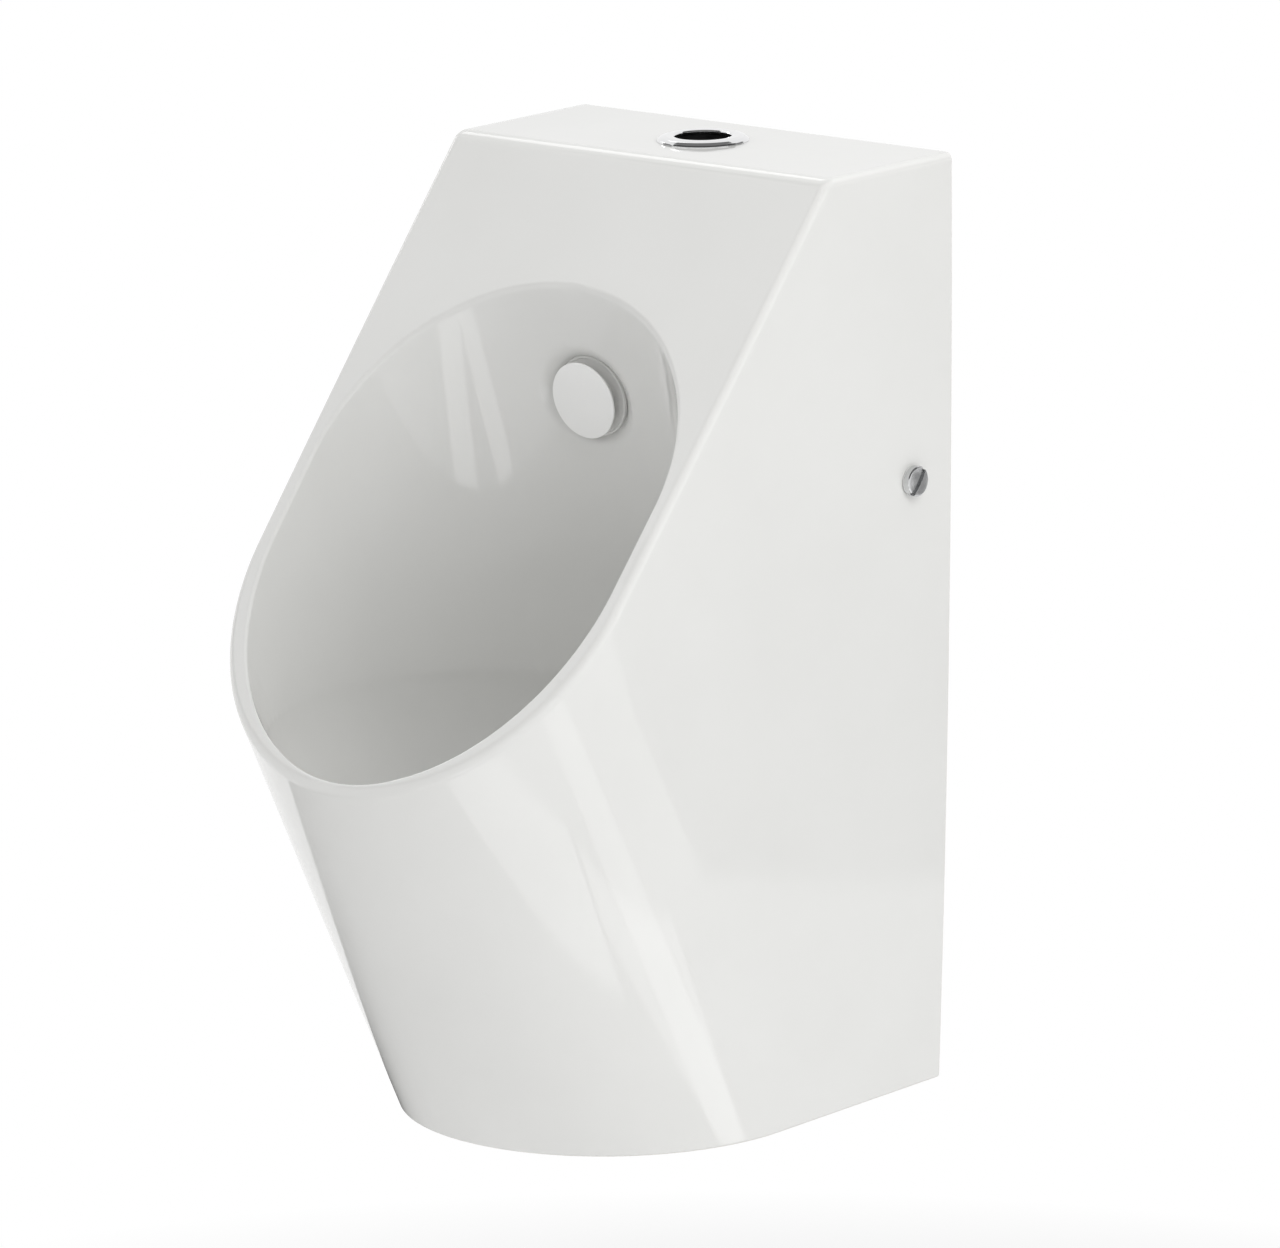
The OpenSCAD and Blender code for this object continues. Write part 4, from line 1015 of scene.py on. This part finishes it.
def add_strip(name, p0, p1, width, longer, radiance):
    """A strip light through two points, seen only as a reflection in the glaze."""
    p0, p1 = Vector(p0), Vector(p1)
    mid = (p0 + p1) / 2
    size = width, (p1 - p0).length * longer
    obj = add_area(name, mid, mid - Vector(STRIP_AIM), p1 - p0, size, radiance)
    obj.visible_diffuse = False


def add_mirrored(name, corners, mat):
    """A flat sheet that only reflections see."""
    obj = new_mesh(name, corners, [(0, 1, 2), (0, 2, 3)])
    obj.data.materials.append(mat)
    obj.visible_camera = obj.visible_diffuse = obj.visible_shadow = obj.visible_transmission = False


def add_gloss(name, az, el, dist, size, tone, aim=STAGE_MIDDLE):
    """A flat sheet that only reflections see, bright or dark, facing aim."""
    way = direction(az, el)
    x = way.cross((0, 0, 1)).normalized() * size[0] / 2
    y = x.normalized().cross(way) * size[1] / 2
    mid = Vector(aim) + way * dist
    t = material(name)
    add_mirrored(name, [mid - x - y, mid + x - y, mid + x + y, mid - x + y], t.show(t.glow(1.0, tone)))


def add_card(name, x0, x1, soft, y0, y1, z, tone):
    """A grey card beside the object with one soft edge, seen only as a reflection."""
    t = material(name)
    x = t.add("ShaderNodeSeparateXYZ", {"Vector": t.coord()}).outputs[0]
    mat = t.show(t.layer(t.spread(x, 1.0, 0.0, x1 - soft, x1), t.clear(), t.glow(tone)))
    add_mirrored(name, [(x0, y0, z), (x1, y0, z), (x1, y1, z), (x0, y1, z)], mat)


# Strength of the surround's light
WORLD = 0.544
LAMPS = (
    # name, azimuth, elevation, distance, size, radiance
    ("top_box", 170, 80, 1.8, (1.4, 1.4), 1.09),
    ("right_high", 80, 38, 1.8, (1.2, 1.2), 2.52),
    ("right_low", 95, -8, 1.8, (1.4, 0.9), 1.32),
    ("front_low", 0, -28, 1.25, (1.2, 0.6), 1.37),
    ("left_box", -90, 5, 1.8, (1.2, 1.2), 2.5),
    ("front_high", 10, 35, 2.2, (1.2, 1.2), 0.43),
)
STRIPS = (
    # name, from, to, width, times as long, radiance
    ("side_strip", (0.661, -0.314, -0.486), (0.646, -0.051, -0.725), 0.15, 1.5, 0.8),
    ("front_strip_a", (0.376, -1.451, -0.592), (0.454, -1.402, -0.678), 0.20, 3.0, 1.4),
    ("front_strip_b", (0.158, -1.5, -0.606), (0.027, -1.489, -0.705), 0.12, 2.2, 1.4),
    ("floor_strip_a", (0.25, -0.85, -0.78), (0.62, -0.38, -0.78), 0.25, 1.0, 1.0),
    ("floor_strip_b", (0.62, -0.38, -0.78), (0.80, 0.10, -0.78), 0.25, 1.0, 0.9),
)
GLOSS_BOXES = (
    # name, azimuth, elevation, distance, size, tone, aim if not the stage's middle
    ("edge_light", -122, 40, 2.4, (0.7, 0.4), 2.6, (0, -0.12, 0.2)),
    ("rim_light", -98, 29, 2.2, (0.5, 0.45), 4.0, (0.09, -0.25, 0)),
    ("flag_side", 143, -14, 2.0, (1.3, 1.2), 0.4),
    ("flag_high", 133, 16, 2.0, (1.6, 0.4), 0.06),
    ("flag_camera", 40, 42, 2.4, (4.2, 1.9), 0.08),
    ("flag_left", -19, 42, 2.6, (2.2, 1.9), 0.08),
    ("flag_right", 106, 44, 2.6, (3.0, 1.7), 0.08),
    ("flag_far_left", -64, 22, 2.5, (1.5, 0.7), 0.25),
    ("flag_far_right", 150, 22, 2.5, (1.2, 0.6), 0.25),
    ("flag_top", 41, 88, 2.2, (2.6, 2.6), 0.2),
)
# CAD nodes that keep their shape but get rounded edges, with the width in mm
SOFT_EDGE = {
    "inlet_lock_nut": 0.7, "spreader_lock_nut": 0.7, "spreader_sleeve_seal": 0.5,
    "waste_flange": 0.5, "waste_strainer": 0.3, "trap_body": 0.8,
    "outlet_pipe": 0.5, "left_bracket": 0.5, "right_bracket": 0.5,
    "left_side_bush": 0.4, "right_side_bush": 0.4,
}

bpy.context.scene.view_settings.view_transform = "Standard"
add_camera()
add_floor()
add_world(WORLD)
for lamp in LAMPS:
    add_lamp(*lamp)
for strip in STRIPS:
    add_strip(*strip)
for box in GLOSS_BOXES:
    add_gloss(*box)
add_card("left_card", x0=-1.05, x1=-0.2, soft=0.7, y0=-1.4, y1=1.4, z=FLOOR_Z + 0.01, tone=0.08)

dress(ceramic(), "ceramic_body")
rosette()
lip_seal()
spud()
spreader()
flush_elbow()
cap()
trap_fittings()
for side in (-1, 1):
    side_screw(side)
    side_washer(side)
for node, width in SOFT_EDGE.items():
    # faces made one would overlap after rounding on the brackets
    soften(node, width, merge="bracket" not in node)
for node, obj in NODES.items():
    for k in range(len(obj.data.materials)):
        obj.data.materials[k] = MATERIALS[SLOT_OF[node]]
